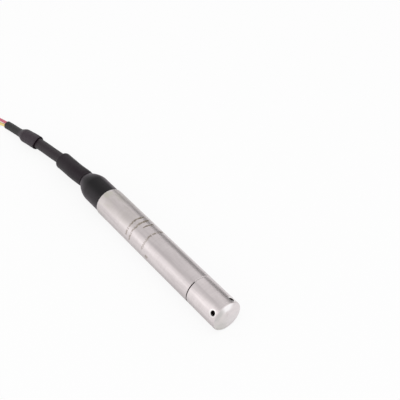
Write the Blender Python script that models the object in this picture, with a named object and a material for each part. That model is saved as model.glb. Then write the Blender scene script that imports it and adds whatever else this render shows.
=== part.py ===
"""Submersible capacitive level transmitter: a slim steel probe, its cable and its stripped leads.

The probe lies along X with its nose towards +X, resting on Z = 0. All lengths are in metres.
"""

import math

import bmesh
import bpy
from mathutils import Vector

# Roundness of the turned pieces, and the clearances between pieces
OUTER_SIDES = 48
INNER_SIDES = 32
SMALL_SIDES = 16
PIN_SIDES = 8
HEX_SIDES = 6
SEAL_POINTS = 8
NOSE_STEPS = 3
DOME_STEPS = 8
CRADLE_STEPS = 12
SHARP_ANGLE = math.radians(40)
SEAT_GAP = 0.0003
THREAD_CLEARANCE = 0.00025
RING_CLEARANCE = 0.00015

# Steel tube
BODY_RADIUS = 0.0110
HOUSING_LENGTH = 0.1060
EDGE_CHAMFER = 0.00035
TUBE_WALL = 0.0021
SPIGOT_STEP = 0.0016
SPIGOT_WALL = 0.00075
SPIGOT_LENGTH = 0.0085
CELL_RIB_HEIGHT = 0.00125
CELL_RIB_LENGTH = 0.0020

# Nose cap, screwed on the spigot
CAP_LENGTH = 0.0283
CAP_END_WALL = 0.0018
CAP_WALL = 0.0020
CAP_SOCKET_SPARE = 0.0008
NOSE_ROUNDING = 0.0010
INLET_RADIUS = 0.0018
INLET_SETBACK = 0.0037
INLET_PHASE = math.radians(54.5)
INLET_COUNT = 4
CAP_RING_THICKNESS = 0.0007
CAP_RING_SETBACK = 0.0016

# Ceramic cell and what holds it
CELL_CLEARANCE = 0.00025
CELL_THICKNESS = 0.0055
MEMBRANE_THICKNESS = 0.0004
CELL_RING_THICKNESS = 0.0014
RETAINER_LENGTH = 0.0030
RETAINER_WALL = 0.0018
SPANNER_SLOT_WIDTH = 0.0020
SPANNER_SLOT_DEPTH = 0.0012
PIN_RADIUS = 0.0004
PIN_LENGTH = 0.0036
PIN_COUNT = 3

# Electronics
CELL_BOARD_CLEARANCE = 0.0004
BOARD_THICKNESS = 0.0016
BOARD_EDGE_CLEARANCE = 0.0011
BOARD_DROP = 0.0005
BOARD_FRONT_GAP = 0.0035
WIRING_SPACE = 0.0106
CRADLE_WALL = 0.00135
HEADER_SIZE = (0.0067, 0.0080, 0.0030)
SIGNAL_CHIP_SIZE = (0.0070, 0.0070, 0.0016)
OUTPUT_CHIP_SIZE = (0.0060, 0.0050, 0.0015)
TERMINAL_SIZE = (0.0046, 0.0056, 0.0035)
CAPACITOR_LENGTH = 0.0080
ARRESTER_LENGTH = 0.0060
CAN_GAP = 0.0016
PART_SPACING = 0.0050

# Cable entry
CABLE_RADIUS = 0.0043
GLAND_DEPTH = 0.0120
GLAND_STEM_LENGTH = 0.0100
GLAND_STEM_STEP = 0.0007
GROMMET_SHARE = 0.634
GROMMET_POCKET_DEPTH = 0.0040
GROMMET_LENGTH = 0.0090
THRUST_WASHER_THICKNESS = 0.0010
NUT_HEAD_LENGTH = 0.0062
NUT_HEAD_CLEARANCE = 0.00016
GLAND_RING_THICKNESS = 0.0011
GLAND_RING_DEPTH = 0.0064
CLAMP_RING_LENGTH = 0.0050
CLAMP_RING_WALL = 0.0019
CABLE_TAIL = 0.0026

# Boot and sleeve over the cable
BOOT_STEP = 0.0006
BOOT_LENGTH = 0.0303
BOOT_CYLINDER_LENGTH = 0.0180
BOOT_NECK_RADIUS = 0.0060
DOME_ROUNDNESS = 1.8
BOOT_SPARE = 0.0008
STRAIGHT_LEAD_OUT = 0.0025
FRAME_STEP = 0.0010
SLEEVE_RADIUS = 0.0066
SLEEVE_LENGTH = 0.0322

# Breakout boot, where the cable parts into its leads
BREAKOUT_START = 0.0675
BREAKOUT_LENGTH = 0.0400
BREAKOUT_RADIUS = 0.0056
BREAKOUT_WIDE_LENGTH = 0.0150
BREAKOUT_TAPER_LENGTH = 0.0060
BREAKOUT_NOZZLE_RADIUS = 0.0034
BREAKOUT_WALL = 0.0007
CABLE_IN_BREAKOUT = 0.0110

# Leads, vent tube and the cores inside the probe
LEAD_RADIUS = 0.0012
LEAD_STACK_ANGLE = math.radians(70)
LEAD_TIP_RADIUS = 0.00055
LEAD_TIP_LENGTH = 0.0070
CORE_RADIUS = 0.0006
CORE_STRAIGHT = 0.0020
RED_CORE_RISE = 0.0004
YELLOW_CORE_RISE = -0.0018
VENT_RADIUS = 0.0008
VENT_LIFT = 0.0013
VENT_STRAIGHT = 0.0040
VENT_OUTLET = 0.0020
VENT_END_GAP = 0.0008

# Radii worked out from the tube's and the cable's
BORE_RADIUS = BODY_RADIUS - TUBE_WALL
SPIGOT_RADIUS = BODY_RADIUS - SPIGOT_STEP
CELL_BORE_RADIUS = SPIGOT_RADIUS - SPIGOT_WALL
CELL_RIB_RADIUS = CELL_BORE_RADIUS - CELL_RIB_HEIGHT
CAP_CAVITY_RADIUS = BODY_RADIUS - CAP_WALL
CAP_RING_RADIUS = SPIGOT_RADIUS + RING_CLEARANCE + CAP_RING_THICKNESS / 2
CELL_RADIUS = CELL_BORE_RADIUS - CELL_CLEARANCE
RETAINER_RADIUS = CELL_BORE_RADIUS - THREAD_CLEARANCE
RETAINER_BORE_RADIUS = RETAINER_RADIUS - RETAINER_WALL
PIN_CIRCLE_RADIUS = CELL_RADIUS / 2
CELL_BOARD_RADIUS = CELL_RIB_RADIUS - CELL_BOARD_CLEARANCE
BOARD_WIDTH = 2 * (BORE_RADIUS - BOARD_EDGE_CLEARANCE)
CAN_RADIUS = BORE_RADIUS / 4
CAN_SPACING = 2 * CAN_RADIUS + CAN_GAP
CABLE_BORE = CABLE_RADIUS + SEAT_GAP
GLAND_STEM_RADIUS = BORE_RADIUS - GLAND_STEM_STEP
GROMMET_POCKET_RADIUS = CABLE_BORE + GROMMET_SHARE * (GLAND_STEM_RADIUS - CABLE_BORE)
NUT_CORNER_RADIUS = GLAND_STEM_RADIUS - NUT_HEAD_CLEARANCE
HEAD_OVERLAP_RADIUS = (CABLE_BORE + GROMMET_POCKET_RADIUS) / 2
BOOT_RADIUS = BODY_RADIUS - BOOT_STEP

# Heights and stations worked out from the sizes above
AXIS_Z = BODY_RADIUS * math.cos(math.pi / OUTER_SIDES)
TUBE_REAR = -(HOUSING_LENGTH + CAP_LENGTH - BOOT_LENGTH) / 2
CAP_SEAT = TUBE_REAR + HOUSING_LENGTH
NOSE_END = CAP_SEAT + CAP_LENGTH
SPIGOT_END = CAP_SEAT + SPIGOT_LENGTH
RETAINER_FRONT = SPIGOT_END - SPANNER_SLOT_DEPTH - SEAT_GAP
RETAINER_BACK = RETAINER_FRONT - RETAINER_LENGTH
MEMBRANE_FRONT = RETAINER_BACK - CELL_RING_THICKNESS - 2 * SEAT_GAP
CELL_FRONT = MEMBRANE_FRONT - MEMBRANE_THICKNESS - SEAT_GAP
CELL_BACK = CELL_FRONT - CELL_THICKNESS
CELL_SEAT = CELL_BACK - SEAT_GAP
CELL_BOARD_FRONT = CELL_BACK - PIN_LENGTH - 2 * SEAT_GAP
CELL_BOARD_BACK = CELL_BOARD_FRONT - BOARD_THICKNESS
BOARD_FRONT = CELL_BOARD_BACK - BOARD_FRONT_GAP
BOARD_TOP = AXIS_Z - BOARD_DROP + BOARD_THICKNESS
PARTS_Z = BOARD_TOP + SEAT_GAP
GLAND_FRONT = TUBE_REAR + GLAND_DEPTH
GLAND_REAR = TUBE_REAR - GLAND_STEM_LENGTH
CLAMP_BACK = GLAND_FRONT + SEAT_GAP
CABLE_END = CLAMP_BACK + CLAMP_RING_LENGTH + CABLE_TAIL
BOARD_BACK = CABLE_END + WIRING_SPACE
BOARD_LENGTH = BOARD_FRONT - BOARD_BACK
BOOT_END = TUBE_REAR - BOOT_LENGTH
CAP_RING_STATION = CAP_SEAT + SEAT_GAP + CAP_RING_SETBACK
NUT_END = GLAND_REAR - SEAT_GAP - NUT_HEAD_LENGTH

# Route of the free cable, and of each lead beyond the breakout boot, measured from the boot's end
CABLE_ROUTE = [
    (-0.0137, -0.0013, 0.0108),
    (-0.0247, -0.0015, 0.0102),
    (-0.0357, -0.0018, 0.0094),
    (-0.0467, -0.0028, 0.0085),
    (-0.0577, -0.0037, 0.0076),
    (-0.0687, -0.0049, 0.0067),
    (-0.0797, -0.0067, 0.0060),
    (-0.0907, -0.0087, 0.0050),
    (-0.1017, -0.0103, 0.0043),
    (-0.1127, -0.0124, 0.0037),
]
RED_LEAD_ROUTE = [
    (-0.1167, -0.0124, 0.0041),
    (-0.1257, -0.0142, 0.0025),
    (-0.1357, -0.0158, 0.0014),
    (-0.1467, -0.0165, 0.0013),
    (-0.1577, -0.0160, 0.0013),
    (-0.1677, -0.0148, 0.0013),
]
YELLOW_LEAD_ROUTE = [
    (-0.1162, -0.0139, 0.0015),
    (-0.1257, -0.0171, 0.0013),
    (-0.1357, -0.0201, 0.0013),
    (-0.1467, -0.0221, 0.0013),
    (-0.1577, -0.0229, 0.0013),
    (-0.1667, -0.0228, 0.0013),
]


def material(name, colour, roughness, metallic=0.0):
    made = bpy.data.materials.new(name)
    made.use_nodes = True
    surface = made.node_tree.nodes["Principled BSDF"]
    surface.inputs["Base Color"].default_value = (*colour, 1.0)
    surface.inputs["Roughness"].default_value = roughness
    surface.inputs["Metallic"].default_value = metallic
    return made


def finished(bm, name, surface):
    """Turns a bmesh into a named object, its faces outwards and its round sides smooth."""
    bmesh.ops.recalc_face_normals(bm, faces=bm.faces)
    mesh = bpy.data.meshes.new(name)
    bm.to_mesh(mesh)
    bm.free()
    mesh.shade_smooth()
    mesh.set_sharp_from_angle(angle=SHARP_ANGLE)
    mesh.materials.append(surface)
    made = bpy.data.objects.new(name, mesh)
    bpy.context.scene.collection.objects.link(made)
    return made


def turned(name, outline, sides, surface):
    """Spins an outline of (station, radius) points about the probe's axis, a flat facet down."""
    bm = bmesh.new()
    half_step = math.pi / sides
    outward = Vector((0.0, math.sin(half_step), -math.cos(half_step)))
    axis_point = Vector((0.0, 0.0, AXIS_Z))
    verts = [bm.verts.new(axis_point + Vector((x, 0, 0)) + outward * r) for x, r in outline]
    edges = [
        bm.edges.new((verts[i - 1], verts[i]))
        for i in range(len(verts))
        if outline[i - 1][1] or outline[i][1]
    ]
    bmesh.ops.spin(
        bm,
        geom=verts + edges,
        cent=axis_point,
        axis=(1, 0, 0),
        angle=2 * math.pi,
        steps=sides,
        use_merge=True,
    )
    bmesh.ops.remove_doubles(bm, verts=bm.verts, dist=1e-6)
    return finished(bm, name, surface)


def ring_outline(back, front, inner, outer, chamfer=0.0):
    """Section of a plain ring or disc, with its outer edges broken by a chamfer if one is given."""
    if not chamfer:
        return [(back, inner), (back, outer), (front, outer), (front, inner)]
    return [
        (back, inner),
        (back, outer - chamfer),
        (back + chamfer, outer),
        (front - chamfer, outer),
        (front, outer - chamfer),
        (front, inner),
    ]


def seal_outline(station, radius, thickness):
    """Round section of a seal ring."""
    turns = [2 * math.pi * i / SEAL_POINTS for i in range(SEAL_POINTS)]
    return [
        (station + thickness / 2 * math.cos(a), radius + thickness / 2 * math.sin(a))
        for a in turns
    ]


def block(name, back, across, low, size, surface):
    """A box with its back face at a station, centred across, standing on a height."""
    bm = bmesh.new()
    bmesh.ops.create_cube(bm, size=1.0)
    bmesh.ops.scale(bm, vec=size, verts=bm.verts)
    centre = (back + size[0] / 2, across, low + size[2] / 2)
    bmesh.ops.translate(bm, vec=centre, verts=bm.verts)
    return finished(bm, name, surface)


def rod(name, start, direction, length, radius, surface, sides=SMALL_SIDES):
    """A plain cylinder from a point, along a direction."""
    bm = bmesh.new()
    bmesh.ops.create_cone(
        bm, cap_ends=True, segments=sides, radius1=radius, radius2=radius, depth=length
    )
    direction = Vector(direction).normalized()
    turn = Vector((0, 0, 1)).rotation_difference(direction).to_matrix()
    bmesh.ops.rotate(bm, matrix=turn, verts=bm.verts)
    bmesh.ops.translate(bm, vec=Vector(start) + direction * length / 2, verts=bm.verts)
    return finished(bm, name, surface)


def combine(target, helper, operation):
    """Cuts a helper shape out of a piece, or joins it on, and keeps the helper out of the part."""
    helper.hide_render = True
    helper.display_type = "WIRE"
    change = target.modifiers.new(helper.name, "BOOLEAN")
    change.operation = operation
    change.solver = "EXACT"
    change.object = helper


def behind_boot(points):
    """Points measured from the boot's end, moved to where that end is."""
    return [(BOOT_END + x, y, z) for x, y, z in points]


def smooth_route(points, spacing):
    """Points along a smooth curve through the chosen ones, about one spacing apart."""
    chosen = [Vector(p) for p in points]
    padded = [2 * chosen[0] - chosen[1], *chosen, 2 * chosen[-1] - chosen[-2]]
    route = [chosen[0]]
    for before, start, end, after in zip(padded, padded[1:], padded[2:], padded[3:]):
        steps = max(1, round((end - start).length / spacing))
        for i in range(1, steps + 1):
            t = i / steps
            line = 2 * start + (end - before) * t
            bend = 2 * before - 5 * start + 4 * end - after
            twist = 3 * start - before - 3 * end + after
            route.append(0.5 * (line + bend * t**2 + twist * t**3))
    return route


def knots_of(route):
    """The distance of each point of a route from its start."""
    knots = [0.0]
    for start, end in zip(route, route[1:]):
        knots.append(knots[-1] + (end - start).length)
    return knots


def place_on(route, distance):
    """The point at a distance along a route, which runs on straight past its ends."""
    knots = knots_of(route)
    last = len(route) - 2
    i = next((k for k in range(last) if distance < knots[k + 1]), last)
    run = route[i + 1] - route[i]
    return route[i] + run * ((distance - knots[i]) / run.length)


def stretch_of(route, start, end):
    """The piece of a route between two distances."""
    inner = [p for p, k in zip(route, knots_of(route)) if start < k < end]
    return [place_on(route, start), *inner, place_on(route, end)]


def frame_on(route, distance):
    """The centre, sideways and upward directions of a route's section at a distance."""
    ahead = place_on(route, distance + FRAME_STEP)
    along = (ahead - place_on(route, distance - FRAME_STEP)).normalized()
    side = along.cross(Vector((0, 0, 1))).normalized()
    return place_on(route, distance), side, side.cross(along)


def flexible(name, route, radius, surface, resolution=2):
    """A round cord along a route, as a curve with filled ends."""
    curve = bpy.data.curves.new(name, "CURVE")
    curve.dimensions = "3D"
    curve.bevel_depth = radius
    curve.bevel_resolution = resolution
    curve.use_fill_caps = True
    spline = curve.splines.new("POLY")
    spline.points.add(len(route) - 1)
    for point, place in zip(spline.points, route):
        point.co = (*place, 1.0)
    curve.materials.append(surface)
    made = bpy.data.objects.new(name, curve)
    bpy.context.scene.collection.objects.link(made)
    return made


def swept(name, outline, route, sides, surface):
    """A closed outline of (distance, radius) points, turned about a route that bends."""
    bm = bmesh.new()
    loops = []
    for (d0, r0), (d1, r1) in zip(outline, outline[1:] + outline[:1]):
        between = [k for k in knots_of(route) if min(d0, d1) < k < max(d0, d1)]
        for d in [d0, *sorted(between, reverse=d1 < d0)]:
            radius = r0 if d == d0 else r0 + (r1 - r0) * (d - d0) / (d1 - d0)
            centre, side, up = frame_on(route, d)
            turns = [2 * math.pi * (i + 0.5) / sides for i in range(sides)]
            rim = [side * math.cos(a) + up * math.sin(a) for a in turns]
            loops.append([bm.verts.new(centre + radius * out) for out in rim])
    for loop, following in zip(loops, loops[1:] + loops[:1]):
        for i in range(sides):
            j = (i + 1) % sides
            bm.faces.new((loop[i], loop[j], following[j], following[i]))
    return finished(bm, name, surface)


def build_housing(steel):
    outline = [
        (TUBE_REAR, BORE_RADIUS),
        (TUBE_REAR, BODY_RADIUS - EDGE_CHAMFER),
        (TUBE_REAR + EDGE_CHAMFER, BODY_RADIUS),
        (CAP_SEAT - EDGE_CHAMFER, BODY_RADIUS),
        (CAP_SEAT, BODY_RADIUS - EDGE_CHAMFER),
        (CAP_SEAT, SPIGOT_RADIUS),
        (SPIGOT_END - EDGE_CHAMFER, SPIGOT_RADIUS),
        (SPIGOT_END, SPIGOT_RADIUS - EDGE_CHAMFER),
        (SPIGOT_END, CELL_BORE_RADIUS),
        (CELL_SEAT, CELL_BORE_RADIUS),
        (CELL_SEAT, CELL_RIB_RADIUS),
        (CELL_SEAT - CELL_RIB_LENGTH, CELL_RIB_RADIUS),
        (CELL_SEAT - CELL_RIB_LENGTH, BORE_RADIUS),
    ]
    return turned("steel_housing", outline, OUTER_SIDES, steel)


def build_nose_cap(steel):
    rim = CAP_SEAT + SEAT_GAP
    socket = SPIGOT_RADIUS + THREAD_CLEARANCE
    socket_end = SPIGOT_END + CAP_SOCKET_SPARE
    groove = CAP_RING_RADIUS + CAP_RING_THICKNESS / 2 + RING_CLEARANCE
    groove_half = CAP_RING_THICKNESS / 2 + RING_CLEARANCE
    corner = (NOSE_END - NOSE_ROUNDING, BODY_RADIUS - NOSE_ROUNDING)
    turns = [math.pi / 2 * (1 - i / NOSE_STEPS) for i in range(NOSE_STEPS + 1)]
    nose = [
        (corner[0] + NOSE_ROUNDING * math.cos(a), corner[1] + NOSE_ROUNDING * math.sin(a))
        for a in turns
    ]
    outline = [
        (rim, socket),
        (rim, BODY_RADIUS - EDGE_CHAMFER),
        (rim + EDGE_CHAMFER, BODY_RADIUS),
        *nose,
        (NOSE_END, 0.0),
        (NOSE_END - CAP_END_WALL, 0.0),
        (NOSE_END - CAP_END_WALL, CAP_CAVITY_RADIUS),
        (socket_end, CAP_CAVITY_RADIUS),
        (socket_end, socket),
        (CAP_RING_STATION + groove_half, socket),
        (CAP_RING_STATION + groove_half, groove),
        (CAP_RING_STATION - groove_half, groove),
        (CAP_RING_STATION - groove_half, socket),
    ]
    cap = turned("nose_cap", outline, OUTER_SIDES, steel)
    for i in range(INLET_COUNT):
        angle = INLET_PHASE + 2 * math.pi * i / INLET_COUNT
        outward = Vector((0.0, math.cos(angle), math.sin(angle)))
        start = Vector((NOSE_END - INLET_SETBACK, 0.0, AXIS_Z)) + outward * CAP_CAVITY_RADIUS / 2
        drill = rod(f"inlet_drill_{i + 1}", start, outward, BODY_RADIUS, INLET_RADIUS, steel)
        combine(cap, drill, "DIFFERENCE")
    return cap


def build_cell(ceramic, steel, rubber, gold):
    turned(
        "ceramic_cell", ring_outline(CELL_BACK, CELL_FRONT, 0.0, CELL_RADIUS), INNER_SIDES, ceramic
    )
    turned(
        "ceramic_membrane",
        ring_outline(CELL_FRONT + SEAT_GAP, MEMBRANE_FRONT, 0.0, CELL_RADIUS),
        INNER_SIDES,
        ceramic,
    )
    seal_radius = CELL_BORE_RADIUS - RING_CLEARANCE - CELL_RING_THICKNESS / 2
    seal_station = (MEMBRANE_FRONT + RETAINER_BACK) / 2
    turned(
        "cell_seal_ring",
        seal_outline(seal_station, seal_radius, CELL_RING_THICKNESS),
        INNER_SIDES,
        rubber,
    )
    retainer = turned(
        "retaining_ring",
        ring_outline(RETAINER_BACK, RETAINER_FRONT, RETAINER_BORE_RADIUS, RETAINER_RADIUS),
        INNER_SIDES,
        steel,
    )
    slot_size = (2 * SPANNER_SLOT_DEPTH, 3 * CELL_BORE_RADIUS, SPANNER_SLOT_WIDTH)
    slot_back = RETAINER_FRONT - SPANNER_SLOT_DEPTH
    slot = block("spanner_slot", slot_back, 0.0, AXIS_Z - SPANNER_SLOT_WIDTH / 2, slot_size, steel)
    combine(retainer, slot, "DIFFERENCE")
    for i in range(PIN_COUNT):
        angle = 2 * math.pi * i / PIN_COUNT + math.pi / 2
        across = PIN_CIRCLE_RADIUS * math.cos(angle)
        height = AXIS_Z + PIN_CIRCLE_RADIUS * math.sin(angle)
        start = (CELL_BOARD_FRONT + SEAT_GAP, across, height)
        rod(f"cell_pin_{i + 1}", start, (1, 0, 0), PIN_LENGTH, PIN_RADIUS, gold, PIN_SIDES)


def build_cradle(plastic):
    """A trough that fits the housing's bore and carries the main board on its two edges."""
    outer = BORE_RADIUS - SEAT_GAP
    inner = outer - CRADLE_WALL
    drop = BOARD_DROP + SEAT_GAP
    bm = bmesh.new()
    section = []
    for radius, turn in ((outer, 1), (inner, -1)):
        tip = math.asin(drop / radius)
        for i in range(CRADLE_STEPS + 1):
            angle = math.pi + tip + (math.pi - 2 * tip) * i / CRADLE_STEPS
            if turn < 0:
                angle = 3 * math.pi - angle
            place = (BOARD_BACK, radius * math.cos(angle), AXIS_Z + radius * math.sin(angle))
            section.append(bm.verts.new(place))
    face = bm.faces.new(section)
    pushed = bmesh.ops.extrude_face_region(bm, geom=[face])
    moved = [v for v in pushed["geom"] if isinstance(v, bmesh.types.BMVert)]
    bmesh.ops.translate(bm, vec=(BOARD_LENGTH, 0, 0), verts=moved)
    return finished(bm, "board_cradle", plastic)


def build_electronics(board_green, chip_black, can_metal, plastic, ceramic):
    turned(
        "cell_board",
        ring_outline(CELL_BOARD_BACK, CELL_BOARD_FRONT, 0.0, CELL_BOARD_RADIUS),
        INNER_SIDES,
        board_green,
    )
    board_size = (BOARD_LENGTH, BOARD_WIDTH, BOARD_THICKNESS)
    block("main_board", BOARD_BACK, 0.0, AXIS_Z - BOARD_DROP, board_size, board_green)
    header_back = CELL_BOARD_BACK - SEAT_GAP - HEADER_SIZE[0]
    block("board_header", header_back, 0.0, PARTS_Z, HEADER_SIZE, chip_black)
    block("terminal_block", BOARD_BACK, 0.0, PARTS_Z, TERMINAL_SIZE, plastic)
    cans_back = BOARD_BACK + TERMINAL_SIZE[0] + PART_SPACING
    for name, length, side, surface in (
        ("filter_capacitor", CAPACITOR_LENGTH, 1, can_metal),
        ("surge_arrester", ARRESTER_LENGTH, -1, ceramic),
    ):
        start = (cans_back, side * CAN_SPACING / 2, PARTS_Z + CAN_RADIUS)
        rod(name, start, (1, 0, 0), length, CAN_RADIUS, surface)
    signal_back = cans_back + CAPACITOR_LENGTH + PART_SPACING
    block("signal_chip", signal_back, 0.0, PARTS_Z, SIGNAL_CHIP_SIZE, chip_black)
    output_back = signal_back + SIGNAL_CHIP_SIZE[0] + PART_SPACING
    block("output_chip", output_back, 0.0, PARTS_Z, OUTPUT_CHIP_SIZE, chip_black)


def build_cores(red, yellow, white):
    """The cable's cores, taken to the terminals, and the vent tube, taken along to the cell."""
    start = CABLE_END + SEAT_GAP
    end = BOARD_BACK - SEAT_GAP
    core_spread = TERMINAL_SIZE[1] / 4
    core_height = PARTS_Z + TERMINAL_SIZE[2] / 2
    for name, side, rise, surface in (
        ("red_core", -1, RED_CORE_RISE, red),
        ("yellow_core", 1, YELLOW_CORE_RISE, yellow),
    ):
        across = side * core_spread
        chosen = [
            (start, across, AXIS_Z + rise),
            (start + CORE_STRAIGHT, across, AXIS_Z + rise),
            (end - CORE_STRAIGHT, across, core_height),
            (end, across, core_height),
        ]
        flexible(name, smooth_route(chosen, 2 * CORE_RADIUS), CORE_RADIUS, surface)
    beside = CAN_SPACING / 2 + CAN_RADIUS + VENT_RADIUS + SEAT_GAP
    over = BOARD_TOP + VENT_RADIUS + VENT_LIFT
    chosen = [
        (start, 0.0, AXIS_Z + VENT_OUTLET),
        (start + CORE_STRAIGHT, VENT_RADIUS / 2, AXIS_Z + VENT_OUTLET),
        (end, beside, over),
        (end + VENT_STRAIGHT, beside, over),
        (CELL_BOARD_BACK - VENT_END_GAP, beside, over),
    ]
    flexible("vent_tube", smooth_route(chosen, VENT_STRAIGHT), VENT_RADIUS, white)


def build_gland(steel, rubber, brass):
    body_radius = BORE_RADIUS - SEAT_GAP
    pocket_end = TUBE_REAR + GROMMET_POCKET_DEPTH
    seal_radius = BORE_RADIUS - RING_CLEARANCE - GLAND_RING_THICKNESS / 2
    groove_half = GLAND_RING_THICKNESS / 2 + RING_CLEARANCE
    groove = seal_radius - groove_half
    seal_station = TUBE_REAR + GLAND_RING_DEPTH
    outline = [
        (GLAND_REAR, GROMMET_POCKET_RADIUS),
        (GLAND_REAR, GLAND_STEM_RADIUS),
        (TUBE_REAR, GLAND_STEM_RADIUS),
        (TUBE_REAR, body_radius),
        (seal_station - groove_half, body_radius),
        (seal_station - groove_half, groove),
        (seal_station + groove_half, groove),
        (seal_station + groove_half, body_radius),
        (GLAND_FRONT, body_radius),
        (GLAND_FRONT, CABLE_BORE),
        (pocket_end, CABLE_BORE),
        (pocket_end, GROMMET_POCKET_RADIUS),
    ]
    turned("gland_body", outline, INNER_SIDES, steel)
    seal = seal_outline(seal_station, seal_radius, GLAND_RING_THICKNESS)
    turned("gland_seal_ring", seal, INNER_SIDES, rubber)
    inside = GROMMET_POCKET_RADIUS - SEAT_GAP
    grommet_front = pocket_end - SEAT_GAP
    grommet_back = grommet_front - GROMMET_LENGTH
    grommet = ring_outline(grommet_back, grommet_front, CABLE_BORE, inside)
    turned("gland_grommet", grommet, INNER_SIDES, rubber)
    washer_front = grommet_back - SEAT_GAP
    washer_back = washer_front - THRUST_WASHER_THICKNESS
    washer = ring_outline(washer_back, washer_front, CABLE_BORE, inside)
    turned("thrust_washer", washer, INNER_SIDES, brass)
    shank = ring_outline(NUT_END, washer_back - SEAT_GAP, CABLE_BORE, inside)
    nut = turned("gland_nut", shank, INNER_SIDES, steel)
    head = ring_outline(NUT_END, GLAND_REAR - SEAT_GAP, HEAD_OVERLAP_RADIUS, NUT_CORNER_RADIUS)
    combine(nut, turned("nut_head", head, HEX_SIDES, steel), "UNION")
    clamp = ring_outline(
        CLAMP_BACK, CLAMP_BACK + CLAMP_RING_LENGTH, CABLE_BORE, CABLE_BORE + CLAMP_RING_WALL
    )
    turned("cable_clamp_ring", clamp, INNER_SIDES, steel)


def build_boot(rubber):
    rim = TUBE_REAR - SEAT_GAP
    hollow = GLAND_STEM_RADIUS + SEAT_GAP
    hollow_end = NUT_END - BOOT_SPARE
    dome_start = TUBE_REAR - BOOT_CYLINDER_LENGTH
    fall = BOOT_RADIUS - BOOT_NECK_RADIUS
    shares = [i / DOME_STEPS for i in range(DOME_STEPS + 1)]
    dome = [
        (dome_start + (BOOT_END - dome_start) * u, BOOT_RADIUS - fall * u**DOME_ROUNDNESS)
        for u in shares
    ]
    outline = [
        (rim, hollow),
        (rim, BOOT_RADIUS),
        *dome,
        (BOOT_END, CABLE_BORE),
        (hollow_end, CABLE_BORE),
        (hollow_end, hollow),
    ]
    return turned("rubber_boot", outline, OUTER_SIDES, rubber)


def build_cable_side(jacket, sleeve_black, boot_grey):
    """The cable and what is shrunk on it. Distances run from the cable's end inside the probe."""
    straight = [CABLE_END, TUBE_REAR, BOOT_END, BOOT_END - STRAIGHT_LEAD_OUT]
    chosen = [(x, 0.0, AXIS_Z) for x in straight] + behind_boot(CABLE_ROUTE)
    route = smooth_route(chosen, 2 * CABLE_RADIUS)
    neck = CABLE_END - BOOT_END
    breakout = neck + BREAKOUT_START
    cable_end = breakout + CABLE_IN_BREAKOUT
    flexible("cable", stretch_of(route, 0.0, cable_end), CABLE_RADIUS, jacket, 4)
    sleeve_start = neck + SEAT_GAP
    sleeve = ring_outline(sleeve_start, sleeve_start + SLEEVE_LENGTH, CABLE_BORE, SLEEVE_RADIUS)
    swept("cable_sleeve", sleeve, route, INNER_SIDES, sleeve_black)
    taper = breakout + BREAKOUT_WIDE_LENGTH
    nozzle = taper + BREAKOUT_TAPER_LENGTH
    mouth = breakout + BREAKOUT_LENGTH
    outline = [
        (breakout, CABLE_BORE),
        (breakout, BREAKOUT_RADIUS),
        (taper, BREAKOUT_RADIUS),
        (nozzle, BREAKOUT_NOZZLE_RADIUS),
        (mouth, BREAKOUT_NOZZLE_RADIUS),
        (mouth, BREAKOUT_NOZZLE_RADIUS - BREAKOUT_WALL),
        (nozzle, BREAKOUT_NOZZLE_RADIUS - BREAKOUT_WALL),
        (taper, CABLE_BORE),
    ]
    swept("breakout_boot", outline, route, INNER_SIDES, boot_grey)
    return route, cable_end + SEAT_GAP, mouth


def build_leads(route, start, mouth, red, yellow, tin):
    """Each lead leaves the cable's end, passes the breakout boot's nozzle and ends stripped. The
    red one lies over the yellow one in the nozzle."""
    inside = [start, (start + mouth) / 2, mouth - LEAD_RADIUS]
    for colour, side, beyond, surface in (
        ("red", 1, RED_LEAD_ROUTE, red),
        ("yellow", -1, YELLOW_LEAD_ROUTE, yellow),
    ):
        offset = side * (LEAD_RADIUS + SEAT_GAP / 2)
        chosen = []
        for distance in inside:
            centre, sideways, upwards = frame_on(route, distance)
            apart = sideways * math.cos(LEAD_STACK_ANGLE) + upwards * math.sin(LEAD_STACK_ANGLE)
            chosen.append(centre + apart * offset)
        lead = smooth_route(chosen + behind_boot(beyond), 4 * LEAD_RADIUS)
        flexible(f"{colour}_lead", lead, LEAD_RADIUS, surface)
        length = knots_of(lead)[-1]
        tip = [place_on(lead, length + SEAT_GAP), place_on(lead, length + LEAD_TIP_LENGTH)]
        flexible(f"{colour}_lead_tip", tip, LEAD_TIP_RADIUS, tin)


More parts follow.
